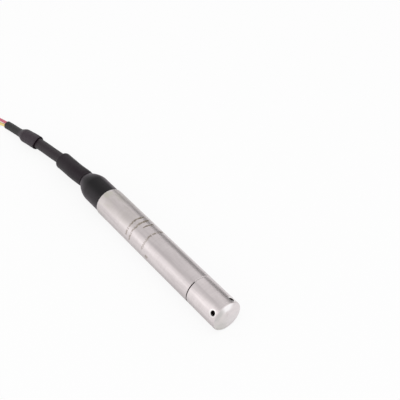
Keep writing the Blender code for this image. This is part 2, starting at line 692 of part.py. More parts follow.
def build():
    for old in list(bpy.data.objects):
        bpy.data.objects.remove(old, do_unlink=True)
    steel = material("satin_steel", (0.62, 0.58, 0.57), 0.30, 1.0)
    inner_steel = material("turned_steel", (0.58, 0.57, 0.56), 0.35, 1.0)
    rubber = material("seal_rubber", (0.02, 0.02, 0.02), 0.60)
    boot_rubber = material("boot_rubber", (0.030, 0.028, 0.030), 0.45)
    sleeve_black = material("shrink_sleeve", (0.030, 0.025, 0.029), 0.60)
    jacket = material("cable_jacket", (0.040, 0.032, 0.036), 0.50)
    breakout_black = material("breakout_rubber", (0.055, 0.052, 0.055), 0.60)
    ceramic = material("ceramic", (0.85, 0.83, 0.78), 0.40)
    gold = material("gold_pins", (0.90, 0.68, 0.30), 0.30, 1.0)
    board_green = material("circuit_board", (0.03, 0.18, 0.07), 0.45)
    chip_black = material("chip_black", (0.02, 0.02, 0.02), 0.50)
    can_metal = material("can_metal", (0.75, 0.75, 0.76), 0.35, 1.0)
    plastic = material("cradle_plastic", (0.75, 0.74, 0.70), 0.50)
    brass = material("brass", (0.80, 0.60, 0.28), 0.30, 1.0)
    red = material("red_insulation", (0.55, 0.11, 0.16), 0.45)
    yellow = material("yellow_insulation", (0.78, 0.58, 0.10), 0.45)
    white = material("vent_plastic", (0.80, 0.80, 0.78), 0.50)
    tin = material("tinned_copper", (0.72, 0.70, 0.68), 0.35, 1.0)

    build_housing(steel)
    build_nose_cap(steel)
    seal = seal_outline(CAP_RING_STATION, CAP_RING_RADIUS, CAP_RING_THICKNESS)
    turned("cap_seal_ring", seal, INNER_SIDES, rubber)
    build_cell(ceramic, inner_steel, rubber, gold)
    build_cradle(plastic)
    build_electronics(board_green, chip_black, can_metal, plastic, ceramic)
    build_cores(red, yellow, white)
    build_gland(inner_steel, rubber, brass)
    build_boot(boot_rubber)
    route, lead_start, mouth = build_cable_side(jacket, sleeve_black, breakout_black)
    build_leads(route, lead_start, mouth, red, yellow, tin)


build()
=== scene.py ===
# %% [markdown]
# # A submersible level probe and its cable
# The object is a slim steel probe that hangs in a tank by its cable. A capacitive ceramic cell sits
# behind a nose cap with four inlet holes. The cable leaves through a rubber boot, a shrink sleeve
# stiffens it, and a second boot parts it into two leads. Its solids are already packed, so this
# lesson loads them as a fixed frame and dresses them: finer skins, free cords and finishes.

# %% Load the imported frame
import math

import bmesh
import bpy
import numpy as np
from mathutils import Matrix, Vector


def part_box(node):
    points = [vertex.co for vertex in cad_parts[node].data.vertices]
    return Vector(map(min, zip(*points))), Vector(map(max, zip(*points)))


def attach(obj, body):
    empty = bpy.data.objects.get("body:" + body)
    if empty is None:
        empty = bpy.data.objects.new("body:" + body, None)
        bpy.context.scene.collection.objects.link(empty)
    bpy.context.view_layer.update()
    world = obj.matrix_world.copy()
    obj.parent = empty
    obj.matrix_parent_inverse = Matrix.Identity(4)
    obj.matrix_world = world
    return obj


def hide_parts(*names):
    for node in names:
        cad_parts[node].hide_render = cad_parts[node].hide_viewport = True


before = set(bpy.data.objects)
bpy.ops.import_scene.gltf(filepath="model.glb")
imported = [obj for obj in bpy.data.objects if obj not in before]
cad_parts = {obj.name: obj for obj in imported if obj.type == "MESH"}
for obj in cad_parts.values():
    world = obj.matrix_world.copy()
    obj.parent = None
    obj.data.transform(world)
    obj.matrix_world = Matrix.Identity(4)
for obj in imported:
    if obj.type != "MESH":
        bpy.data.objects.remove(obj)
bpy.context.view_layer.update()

# %% [markdown]
# ## The camera
# The probe lies along X and its nose points to +X. The photograph looks down on it from the nose's
# right, with a long lens. The camera stands off from an aiming point along one direction, which is
# easier to read and to correct than a typed location and three angles.

# %% Stand the camera where the photograph was taken
def placed(name, data):
    """A new object in the scene, at the origin."""
    made = bpy.data.objects.new(name, data)
    bpy.context.scene.collection.objects.link(made)
    return made


AIM = Vector((-0.02316, 0.06014, 0.00027))
STAND_OFF = 0.6027
AZIMUTH, ELEVATION = math.radians(52.26), math.radians(42.22)
towards_camera = Vector((
    math.sin(AZIMUTH) * math.cos(ELEVATION),
    -math.cos(AZIMUTH) * math.cos(ELEVATION),
    math.sin(ELEVATION),
))
lens = bpy.data.cameras.new("camera")
lens.lens = 73.04
lens.sensor_width = 36.0
lens.clip_start, lens.clip_end = 0.01, 50.0
camera = placed("camera", lens)
camera.location = AIM + towards_camera * STAND_OFF
camera.rotation_euler = (-towards_camera).to_track_quat("-Z", "Y").to_euler()
bpy.context.scene.camera = camera
bpy.context.scene.view_settings.view_transform = "Standard"
print("camera at", tuple(round(c, 4) for c in camera.location))

# %% [markdown]
# ## Sizes that the skins share with the solids
# A skin has to lie on its solid, so it repeats the solid's few driving numbers. The rest is worked
# out from them. The tube's round skin has the radius of the solid's flats, so that it rests on the
# table as the faceted solid does.

# %% Repeat the driving sizes, in metres
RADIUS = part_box("steel_housing")[1].z / 2
AXIS = RADIUS
TUBE_REAR, CAP_SEAT = -0.0520, 0.0540
NOSE_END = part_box("nose_cap")[1].x
BORE, SPIGOT, SPIGOT_END = 0.0089, 0.0094, 0.0625
CELL_BORE, CELL_SEAT, RIB_BORE, RIB_END = 0.00865, 0.0495, 0.0074, 0.0475
SEAT_GAP = 0.0003
BOOT_END = -0.0823
CABLE_RADIUS, LEAD_RADIUS = 0.0043, 0.0012
CABLE_BORE = CABLE_RADIUS + SEAT_GAP
SLEEVE_RADIUS, SLEEVE_LENGTH = 0.0066, 0.0322
BREAKOUT_START, BREAKOUT_LENGTH = 0.0675, 0.0400
BREAKOUT_RADIUS, NOZZLE_RADIUS = 0.0056, 0.0034
CABLE_IN_BREAKOUT = 0.0110
print("tube radius", round(RADIUS * 1000, 3), "mm, nose at", round(NOSE_END * 1000, 2), "mm")

# %% [markdown]
# ## Routes for the cable and the leads
# A cable leaves its boot straight, sinks under its weight and comes to rest on the table. A chain
# of chosen points and a Catmull-Rom curve through them say that with few numbers, and the curve
# passes through each point, so a point can be moved without disturbing the rest.

# %% Draw smooth routes through chosen points
CABLE_ROUTE = [
    (-0.0137, -0.0013, 0.0108), (-0.0247, -0.0015, 0.0102), (-0.0357, -0.0018, 0.0094),
    (-0.0467, -0.0028, 0.0085), (-0.0577, -0.0037, 0.0076), (-0.0687, -0.0049, 0.0067),
    (-0.0797, -0.0067, 0.0060), (-0.0907, -0.0087, 0.0050), (-0.1017, -0.0103, 0.0043),
    (-0.1127, -0.0124, 0.0037),
]
LEAD_ROUTES = {
    "red": [
        (-0.1167, -0.0124, 0.0041), (-0.1257, -0.0142, 0.0025), (-0.1357, -0.0158, 0.0014),
        (-0.1467, -0.0165, 0.0013), (-0.1577, -0.0160, 0.0013), (-0.1677, -0.0148, 0.0013),
    ],
    "yellow": [
        (-0.1162, -0.0139, 0.0015), (-0.1257, -0.0171, 0.0013), (-0.1357, -0.0201, 0.0013),
        (-0.1467, -0.0221, 0.0013), (-0.1577, -0.0229, 0.0013), (-0.1667, -0.0228, 0.0013),
    ],
}


def behind_boot(points):
    """Points measured from the boot's end, moved to where that end is."""
    return [(BOOT_END + x, y, z) for x, y, z in points]


def smooth_route(points, spacing):
    """Points along a Catmull-Rom curve through the chosen ones, about one spacing apart."""
    chosen = [Vector(p) for p in points]
    padded = [2 * chosen[0] - chosen[1], *chosen, 2 * chosen[-1] - chosen[-2]]
    route = [chosen[0]]
    for before, start, end, after in zip(padded, padded[1:], padded[2:], padded[3:]):
        steps = max(1, round((end - start).length / spacing))
        for i in range(1, steps + 1):
            t = i / steps
            line = 2 * start + (end - before) * t
            bend = 2 * before - 5 * start + 4 * end - after
            twist = 3 * start - before - 3 * end + after
            route.append(0.5 * (line + bend * t**2 + twist * t**3))
    return route


def knots_of(route):
    """The distance of each point of a route from its start."""
    steps = [(b - a).length for a, b in zip(route, route[1:])]
    return [0.0, *np.cumsum(steps)]


def place_on(route, distance):
    """The point at a distance along a route, which runs on straight past its ends."""
    knots = knots_of(route)
    last = len(route) - 2
    i = next((k for k in range(last) if distance < knots[k + 1]), last)
    run = route[i + 1] - route[i]
    return route[i] + run * ((distance - knots[i]) / run.length)


def stretch_of(route, start, end):
    """The piece of a route between two distances."""
    inner = [p for p, k in zip(route, knots_of(route)) if start < k < end]
    return [place_on(route, start), *inner, place_on(route, end)]


def frame_on(route, distance):
    """The centre, sideways and upward directions of a route's section at a distance."""
    along = (place_on(route, distance + 0.001) - place_on(route, distance - 0.001)).normalized()
    side = along.cross(Vector((0, 0, 1))).normalized()
    return place_on(route, distance), side, side.cross(along)


CABLE_END = -0.0321
straight = [(x, 0.0, AXIS) for x in (CABLE_END, TUBE_REAR, BOOT_END, BOOT_END - 0.0025)]
cable_line = smooth_route(straight + behind_boot(CABLE_ROUTE), 0.004)
NECK = CABLE_END - BOOT_END
BREAKOUT = NECK + BREAKOUT_START
MOUTH = BREAKOUT + BREAKOUT_LENGTH
cable_run = stretch_of(cable_line, 0.0, BREAKOUT + CABLE_IN_BREAKOUT)
print("cable", len(cable_run), "points,", round(knots_of(cable_run)[-1] * 1000, 1), "mm long")

# %% [markdown]
# ## Cable and leads as curves
# A cord has one thickness all along, so a curve with a round bevel is its natural form: the curve
# is its centreline, and its length can be measured from it. The two leads start at the cable's end
# inside the small boot, leave its nozzle with the red one uppermost and drop on the table.

# %% Lay the three cords
def flexible(name, route, radius):
    """A round cord along a route, as a curve with filled ends."""
    curve = bpy.data.curves.new(name, "CURVE")
    curve.dimensions = "3D"
    curve.bevel_depth = radius
    curve.bevel_resolution = 8
    curve.use_fill_caps = True
    spline = curve.splines.new("POLY")
    spline.points.add(len(route) - 1)
    for point, place in zip(spline.points, route):
        point.co = (*place, 1.0)
        point.radius = 1.0
    spline.use_smooth = True
    return placed(name, curve)


cable = flexible("cable_cord", cable_run, CABLE_RADIUS)
lead_start = knots_of(cable_run)[-1] + SEAT_GAP
leads, lead_lines = {}, {}
STACK = math.radians(70)
for colour, side in (("red", 1), ("yellow", -1)):
    offset = side * (LEAD_RADIUS + SEAT_GAP / 2)
    chosen = []
    for distance in (lead_start, (lead_start + MOUTH) / 2, MOUTH - LEAD_RADIUS):
        centre, sideways, upwards = frame_on(cable_line, distance)
        apart = sideways * math.cos(STACK) + upwards * math.sin(STACK)
        chosen.append(centre + apart * offset)
    lead_lines[colour] = smooth_route(chosen + behind_boot(LEAD_ROUTES[colour]), 0.003)
    leads[colour] = flexible(f"{colour}_lead_cord", lead_lines[colour], LEAD_RADIUS)
    print(colour, "lead", round(knots_of(lead_lines[colour])[-1] * 1000, 1), "mm long")

# %% [markdown]
# ## Node trees written as expressions
# Both materials and Geometry Nodes are trees of nodes. A thin wrapper lets Python's own operators
# add the Math nodes, so a pattern reads like its formula. Every other node comes from one method
# that takes its type, its settings and the values or links of its sockets.

# %% Wrap sockets and trees
class Link:
    """An output socket that takes part in expressions."""

    def __init__(self, plan, socket):
        self.plan, self.socket = plan, socket

    def __add__(self, other):
        return self.plan.maths("ADD", self, other)

    def __sub__(self, other):
        return self.plan.maths("SUBTRACT", self, other)

    def __rsub__(self, other):
        return self.plan.maths("SUBTRACT", other, self)

    def __mul__(self, other):
        return self.plan.maths("MULTIPLY", self, other)

    def __truediv__(self, other):
        return self.plan.maths("DIVIDE", self, other)

    def __pow__(self, other):
        return self.plan.maths("POWER", self, other)

    __radd__ = __add__
    __rmul__ = __mul__


class Plan:
    """A node tree under construction."""

    def __init__(self, tree):
        self.tree = tree

    def put(self, kind, settings=None, values=None, out=0):
        """Adds a node, sets it up, fills its sockets and returns one of its outputs."""
        node = self.tree.nodes.new(kind)
        for name, value in (settings or {}).items():
            setattr(node, name, value)
        for key, value in (values or {}).items():
            self.join(value, node.inputs[key])
        return Link(self, node.outputs[out]) if node.outputs else node

    def join(self, value, socket):
        if isinstance(value, Link):
            self.tree.links.new(value.socket, socket)
        else:
            socket.default_value = value

    def maths(self, operation, *values):
        return self.put("ShaderNodeMath", {"operation": operation}, dict(enumerate(values)))

    def length(self, a, b):
        """The length of the line whose two sides are given."""
        return self.maths("SQRT", a * a + b * b)

    def vector(self, x=0.0, y=0.0, z=0.0):
        """A vector put together from its parts."""
        return self.put("ShaderNodeCombineXYZ", values={0: x, 1: y, 2: z})

    def split(self, vector):
        """The three parts of a vector."""
        node = self.tree.nodes.new("ShaderNodeSeparateXYZ")
        self.join(vector, node.inputs[0])
        return [Link(self, output) for output in node.outputs]


print("wrappers ready")

# %% [markdown]
# ## A finish that starts from a Principled shader
# Each finish is one Principled shader and the patterns that vary over the piece. The patterns read
# object coordinates, which are metres here, so a stretch of 1000 means features of about 1 mm.

# %% Set up finishes
class Finish(Plan):
    """A material with one Principled shader, and the patterns that feed it."""

    def __init__(self, name, **constants):
        self.material = bpy.data.materials.new(name)
        self.material.use_nodes = True
        super().__init__(self.material.node_tree)
        self.shader = self.tree.nodes["Principled BSDF"]
        for key, value in constants.items():
            self.shader.inputs[key.replace("_", " ")].default_value = value

    def place(self, stretch=(1, 1, 1), middle=(0, 0, 0)):
        """Object coordinates, measured from a middle and stretched."""
        moved = self.put(
            "ShaderNodeVectorMath",
            {"operation": "SUBTRACT"},
            {0: self.put("ShaderNodeTexCoord", out="Object"), 1: middle},
        )
        return self.put(
            "ShaderNodeVectorMath", {"operation": "MULTIPLY"}, {0: moved, 1: stretch}
        )

    def axes(self, middle=(0, 0, 0)):
        """Object coordinates x, y and z, measured from a middle."""
        return self.split(self.place(middle=middle))

    def noise(self, stretch=1.0, detail=2.0, rough=0.5, at=None):
        """A cloud of values around one half. A stretch is waves a metre, one for all or three."""
        if not isinstance(stretch, tuple):
            stretch = (stretch, stretch, stretch)
        values = {"Vector": at or self.place(stretch), "Detail": detail, "Roughness": rough}
        return self.put("ShaderNodeTexNoise", values={**values, "Scale": 1.0})

    def step(self, value, low, high, first=0.0, last=1.0):
        """Runs smoothly from the first value to the last while a value goes from low to high."""
        return self.put(
            "ShaderNodeMapRange",
            {"interpolation_type": "SMOOTHSTEP"},
            {0: value, 1: low, 2: high, 3: first, 4: last},
        )

    def tint(self, factor, first, last):
        """A colour between two."""
        first, last = (c if isinstance(c, Link) else (*c, 1.0) for c in (first, last))
        values = {0: factor, 6: first, 7: last}
        return self.put("ShaderNodeMix", {"data_type": "RGBA"}, values, out=2)

    def feed(self, **links):
        for key, value in links.items():
            self.join(value, self.shader.inputs[key.replace("_", " ")])
        return self

    def bump(self, height, distance, strength=1.0):
        """Raises the surface where the height is 1 by a distance in metres."""
        values = {"Height": height, "Distance": distance, "Strength": strength}
        return self.feed(Normal=self.put("ShaderNodeBump", values=values))


print("finishes can be mixed")

# %% [markdown]
# ## Satin steel
# The tube is ground between wheels, which leaves rings far finer than a pixel, and handling leaves
# soft smudges and streaks along it. Use adds a thin film towards the rear and a stain by the boot.
# The rest is painted light: painted shade under the tube and on the lower front of the joint, and a
# painted highlight on the tube's rear edge and round the joint. Each mark is a mask times a tone,
# and the masks come from places on the part, so that they stay where they belong. On the flat nose
# the tool marks are circles, so there the noise follows the distance from the axis instead. The cap
# is a little lighter than the tube.

# %% Choose the steel's tones
STEEL_LIGHT, STEEL_DARK = (0.730, 0.671, 0.673), (0.650, 0.594, 0.597)
FILM, STAIN = (0.560, 0.520, 0.485), (0.600, 0.595, 0.490)
# Painted highlights on the tube's rear edge and on the nose's face, and the inlets' brushed
# collars, painted brighter partly as a painted glint.
PAINTED_EDGE_HIGHLIGHT, BRUSHED_AND_GLINT, PAINTED_FACE_HIGHLIGHT = (0.97, 0.95, 0.95), (0.90, 0.88, 0.87), (1.0, 0.97, 0.98)
# Painted light and painted shade on the nose's face, and painted shade towards its rim.
FACE_RIGHT_PAINTED_LIGHT, FACE_LEFT_PAINTED_SHADE = (0.88, 0.84, 0.845), (0.70, 0.685, 0.66)
PAINTED_RIM_SHADE = (0.57, 0.55, 0.54)
# Painted highlight round the joint and painted shade on its lower front side.
PAINTED_JOINT_HIGHLIGHT, PAINTED_JOINT_SHADE = (0.86, 0.82, 0.82), (0.055, 0.045, 0.043)
CAP_LIFT, SHADED_JOINT_SIDE = 1.07, math.radians(200)
INLET_SETBACK, INLET_RADIUS, INLET_PHASE = 0.0037, 0.0018, math.radians(54.5)


def times(factor, colour):
    """A colour made lighter or darker all over."""
    return [factor * part for part in colour]


print("the cap is", round(100 * CAP_LIFT - 100), "percent lighter than the tube")

# %% [markdown]
# ## Marks of the cap alone
# Around each inlet the burr was brushed off, which leaves a collar, painted brighter partly as a
# painted glint. The four inlets repeat by a quarter turn, so the angle is folded into one quarter
# and a single collar serves them all. The face has a painted highlight in a wedge at its top,
# painted light on its right and painted shade on its left, darkest towards its rim at the upper
# left.

# %% Mask the inlets' collars and paint light and shade on the nose's face
def inlet_collars(steel, x, y, z, out):
    """1 on the brushed collars round the four inlets, which are painted brighter partly as a glint.
    """
    turn = steel.maths("ARCTAN2", z, y) - INLET_PHASE + 8 * math.pi
    quarter = steel.maths("FRACT", turn / (math.pi / 2) + 0.5) - 0.5
    along = x - (NOSE_END - INLET_SETBACK)
    away = steel.length(along, quarter * (math.pi / 2 * RADIUS))
    collar = steel.step(away, INLET_RADIUS + 0.0004, INLET_RADIUS + 0.0013, 1.0, 0.0)
    return collar * steel.step(out, RADIUS - 0.002, RADIUS - 0.0008)


def paint_face_light(steel, colour, on_face, y, z, out):
    """Paints a highlight in a wedge at the face's top, painted light on the right and painted shade
    on the left of the rest, strongest low down, and painted shade towards the left rim.
    """
    from_top = steel.maths("ABSOLUTE", steel.maths("ARCTAN2", z, y) - math.pi / 2)
    highlight_wedge = steel.step(from_top, 0.15, 0.70, 1.0, 0.0)
    colour = steel.tint(on_face * highlight_wedge * steel.step(out, 0.0035, 0.0068), colour, PAINTED_FACE_HIGHLIGHT)
    below, left = steel.step(z, 0.002, -0.007), steel.step(y, 0.003, -0.006)
    face_painted_shading, beside = steel.tint(left, FACE_RIGHT_PAINTED_LIGHT, FACE_LEFT_PAINTED_SHADE), on_face * (1 - highlight_wedge)
    colour = steel.tint(beside * (0.35 + below * 0.55), colour, face_painted_shading)
    rim_shade_mask = left * steel.step(z, -0.001, 0.005) * steel.step(out, 0.004, 0.0085)
    return steel.tint(beside * rim_shade_mask * 0.8, colour, PAINTED_RIM_SHADE)


print("marks of the cap ready")

# %% Mix the satin steel
def worn_zones(steel, colour, dark, x, y, z, out):
    """Adds the stain, a painted highlight on the rear edge, the film and painted shade under the
    tube to a colour, and gives the film's mask.
    """
    near_boot = steel.step(x, TUBE_REAR + 0.003, TUBE_REAR + 0.016, 1.0, 0.0)
    stain = near_boot * steel.step(steel.noise((130, 230, 230)), 0.46, 0.62)
    colour = steel.tint(stain * 0.6, colour, STAIN)
    # Painted highlight: a thin bright band along the tube's rear edge.
    edge_highlight = steel.step(x, TUBE_REAR + 0.0003, TUBE_REAR + 0.0005, 0.7, 0.0)
    colour = steel.tint(edge_highlight, colour, PAINTED_EDGE_HIGHLIGHT)
    film = steel.step(x, -0.046, 0.006, 1.0, 0.0)
    film = film * steel.step(steel.noise((70, 190, 190), 3.0, 0.6), 0.25, 0.68)
    film = film * steel.step(y, -0.0098, -0.0072, 0.2, 1.0)
    colour = steel.tint(film * 0.64, colour, FILM)
    # Painted shade: the steel is darkened under the tube, towards the table.
    painted_underside_shade = steel.step(z, 0.0035, -0.0005) * steel.step(x, -0.03, 0.06, 0.2, 1.0)
    painted_underside_shade = painted_underside_shade * steel.step(out, RADIUS - 0.0008, RADIUS - 0.0002)
    return steel.tint(painted_underside_shade * 0.8, colour, times(0.84, dark)), film


def paint_joint_light(steel, colour, x, y, z, out):
    """Paints a highlight on the joint under the cap and shade on its lower front half, and gives
    the shade's mask.
    """
    joint = steel.maths("ABSOLUTE", x - CAP_SEAT - SEAT_GAP / 2)
    joint = steel.step(joint, 0.0005, 0.0006, 1.0, 0.0)
    joint = joint * steel.step(out, RADIUS - 0.00025, RADIUS - 0.00005, 1.0, 0.0)
    toward_shaded_side = (y * math.cos(SHADED_JOINT_SIDE) + z * math.sin(SHADED_JOINT_SIDE)) / RADIUS
    joint_shade = joint * steel.step(toward_shaded_side, -0.06, 0.10)
    return steel.tint(joint, colour, steel.tint(joint_shade, PAINTED_JOINT_HIGHLIGHT, PAINTED_JOINT_SHADE)), joint_shade


def satin_steel(name, light, dark, on_cap):
    """The ground steel of the tube, or that of the cap with its inlets and its face."""
    steel = Finish(name, Metallic=1.0)
    x, y, z = steel.axes((0, 0, AXIS))
    out = steel.length(y, z)
    rings = steel.noise((5200, 90, 90), 3.0, 0.6)
    smudges = steel.noise((38, 150, 150), 3.0, 0.55)
    if on_cap:
        circles = steel.noise(at=steel.vector(out * 4200, 0.3, 0.7), detail=3.0, rough=0.6)
        on_face = steel.step(x, NOSE_END - 0.0004, NOSE_END - 0.00005)
        rings = rings * (1 - on_face) + circles * on_face
    tone = steel.step(smudges + steel.noise((900, 30, 30)) * 0.35, 0.50, 0.88)
    colour = steel.tint(tone, light, dark)
    scuffs = steel.step(steel.noise((260, 1500, 1500), 4.0, 0.7), 0.60, 0.72)
    colour = steel.tint(scuffs * 0.30, colour, times(0.82, dark))
    streaks = steel.step(steel.noise((16, 330, 330)), 0.48, 0.70)
    colour = steel.tint(streaks * 0.6, colour, times(0.86, dark))
    colour, film = worn_zones(steel, colour, dark, x, y, z, out)
    rough = 0.27 + smudges * 0.10 + rings * 0.06 + film * 0.05
    if on_cap:
        collar = inlet_collars(steel, x, y, z, out)
        # The brushed collars, painted brighter partly as a painted glint.
        colour = steel.tint(collar * 0.75, colour, BRUSHED_AND_GLINT)
        # Painted highlight, painted light and painted shade on the nose's face.
        colour = paint_face_light(steel, colour, on_face, y, z, out)
        rough = rough - collar * 0.08
    # Painted highlight and painted shade at the joint; the shade's mask also roughens it there.
    colour, joint_shade = paint_joint_light(steel, colour, x, y, z, out)
    steel.feed(Base_Color=colour, Roughness=rough + joint_shade * 0.3).bump(rings, 0.000006, 0.8)
    return steel.material


tube_steel = satin_steel("tube_satin_steel", STEEL_LIGHT, STEEL_DARK, False)
cap_steel = satin_steel(
    "cap_satin_steel", times(CAP_LIFT, STEEL_LIGHT), times(CAP_LIFT, STEEL_DARK), True
)
print("steel:", len(cap_steel.node_tree.nodes), "nodes")

# %% [markdown]
# ## Turned skins
# The tube and the cap come off a lathe, so their skins are outlines turned about the axis. The
# outline's corners get small arcs, because a real edge is never sharp and it is the edges that
# catch the light. Where tube and cap meet, both are relieved a little, and the tube keeps a narrow
# lip in the joint, so that it reads as a fine line. Doubles are merged before the normals are
# recalculated, so that every face looks out.

# %% Turn an outline about the probe's axis
def shade(mesh, sharp):
    """Smooth sides, and crisp corners past an angle in degrees."""
    mesh.shade_smooth()
    mesh.set_sharp_from_angle(angle=math.radians(sharp))


def settle(bm, mesh, sharp):
    """Welds a bmesh, turns its faces outwards and writes it to a mesh."""
    bmesh.ops.remove_doubles(bm, verts=bm.verts, dist=1e-7)
    bmesh.ops.recalc_face_normals(bm, faces=bm.faces)
    bm.to_mesh(mesh)
    bm.free()
    shade(mesh, sharp)


def finished(bm, name, finish, sharp=35):
    """Turns a bmesh into a named object with a finish."""
    mesh = bpy.data.meshes.new(name)
    settle(bm, mesh, sharp)
    mesh.materials.append(finish)
    return placed(name, mesh)


def rounded(corner, size, start, end, steps=4):
    """Points of an arc about a corner's inner point, from one angle to another in degrees."""
    turns = [math.radians(start + (end - start) * i / steps) for i in range(steps + 1)]
    return [(corner[0] + size * math.cos(a), corner[1] + size * math.sin(a)) for a in turns]


def turned(name, outline, sides, finish, place=Matrix.Translation((0, 0, AXIS))):
    """Spins a closed outline of (station, radius) points about X and puts it in its place."""
    bm = bmesh.new()
    rings = []
    for x, r in outline:
        turns = [2 * math.pi * i / sides for i in range(sides)] if r > 1e-6 else [0.0]
        rings.append([bm.verts.new((x, r * math.cos(a), r * math.sin(a))) for a in turns])
    for ring, following in zip(rings, rings[1:] + rings[:1]):
        for i in range(sides):
            a, b = ring[i % len(ring)], ring[(i + 1) % len(ring)]
            c, d = following[(i + 1) % len(following)], following[i % len(following)]
            corners = list(dict.fromkeys((a, b, c, d)))
            if len(corners) > 2:
                bm.faces.new(corners)
    bm.transform(place)
    return finished(bm, name, finish)


print("outlines can be turned")

# %% Turn the tube
EDGE, FINE, RELIEF, GROOVE, LIP = 0.00035, 0.00012, 0.00025, 0.0003, 0.00022
tube_outline = [
    (TUBE_REAR, BORE),
    *rounded((TUBE_REAR + EDGE, RADIUS - EDGE), EDGE, 180, 90),
    *rounded((CAP_SEAT - RELIEF - FINE, RADIUS - FINE), FINE, 90, 0),
    (CAP_SEAT - RELIEF, RADIUS - GROOVE),
    (CAP_SEAT + LIP, RADIUS - GROOVE),
    (CAP_SEAT + LIP, RADIUS - 2 * GROOVE),
    (CAP_SEAT, RADIUS - 2 * GROOVE - 0.0001),
    (CAP_SEAT, SPIGOT - 0.0001),
    (CAP_SEAT + 0.0007, SPIGOT - 0.0001),
    (CAP_SEAT + 0.0009, SPIGOT),
    (SPIGOT_END - 0.0004, SPIGOT),
    (SPIGOT_END, SPIGOT - 0.0004),
    (SPIGOT_END, CELL_BORE),
    (CELL_SEAT, CELL_BORE),
    (CELL_SEAT, RIB_BORE),
    (RIB_END, RIB_BORE),
    (RIB_END, BORE),
]
LATHE_SIDES = 180
tube = turned("probe_tube", tube_outline, LATHE_SIDES, tube_steel)
print("tube skin:", len(tube.data.polygons), "faces")

# %% [markdown]
# ## Nose cap with its four inlets
# The cap is a cup with a flat front, screwed on the tube until a hairline gap is left. Its four
# inlets let the liquid reach the cell. Each is drilled and then broken at the edge, so the cutter
# is one turned shape, a drill with a countersink, and a Boolean takes it out of the cup.

# %% Turn the cap
NOSE_ROUND = 0.0010
CAP_RIM = CAP_SEAT + SEAT_GAP
SOCKET, CAVITY = SPIGOT + 0.00025, 0.0090
SOCKET_END, CAVITY_END = SPIGOT_END + 0.0008, NOSE_END - 0.0018
RING_STATION, RING_RADIUS, RING_HALF = CAP_RIM + 0.0016, 0.0099, 0.0005
cap_outline = [
    (CAP_RIM, SOCKET),
    (CAP_RIM, RADIUS - GROOVE - 0.0001),
    (CAP_RIM + RELIEF, RADIUS - GROOVE),
    *rounded((CAP_RIM + RELIEF + FINE, RADIUS - FINE), FINE, 180, 90),
    *rounded((NOSE_END - NOSE_ROUND, RADIUS - NOSE_ROUND), NOSE_ROUND, 90, 0, 6),
    (NOSE_END, 0.0),
    (CAVITY_END, 0.0),
    (CAVITY_END, CAVITY),
    (SOCKET_END, CAVITY),
    (SOCKET_END, SOCKET),
    (RING_STATION + RING_HALF, SOCKET),
    (RING_STATION + RING_HALF, RING_RADIUS + RING_HALF),
    (RING_STATION - RING_HALF, RING_RADIUS + RING_HALF),
    (RING_STATION - RING_HALF, SOCKET),
]
cap = turned("nose_shell", cap_outline, LATHE_SIDES, cap_steel)
print("cap before drilling:", len(cap.data.polygons), "faces")

# %% Drill the inlets
DRILL_START, DRILL_END, SINK, DRILL_SIDES = 0.0045, RADIUS + 0.002, 0.00035, 48


def drill(name, direction):
    """A drill with a countersink, pointing out through the cap's wall."""
    turn = Vector((1, 0, 0)).rotation_difference(direction).to_matrix().to_4x4()
    outline = [
        (DRILL_START, 0.0),
        (DRILL_START, INLET_RADIUS),
        (RADIUS - SINK, INLET_RADIUS),
        (RADIUS + SINK, INLET_RADIUS + 2 * SINK),
        (DRILL_END, INLET_RADIUS + 2 * SINK),
        (DRILL_END, 0.0),
    ]
    stand = Matrix.Translation((NOSE_END - INLET_SETBACK, 0, AXIS))
    return turned(name, outline, DRILL_SIDES, cap_steel, stand @ turn)


def apply_to(piece, change):
    """Applies a modifier for good."""
    with bpy.context.temp_override(object=piece, active_object=piece):
        bpy.ops.object.modifier_apply(modifier=change.name)


for i in range(4):
    angle = INLET_PHASE + math.pi / 2 * i
    cutter = drill(f"drill_{i}", Vector((0, math.cos(angle), math.sin(angle))))
    cut = cap.modifiers.new("inlet", "BOOLEAN")
    cut.operation, cut.solver, cut.object = "DIFFERENCE", "EXACT", cutter
    apply_to(cap, cut)
    bpy.data.objects.remove(cutter)
shade(cap.data, 30)
print("cap skin:", len(cap.data.polygons), "faces")

# %% [markdown]
# ## Threads by Geometry Nodes
# A thread is a small ridge that follows a helix, which is what a spiral curve and a profile make.
# The spigot's ridge points out and the cap's points in, half a pitch apart, so they mesh and stay
# meshed as the cap turns. The tree's inputs are the thread's own sizes, so one tree cuts both.

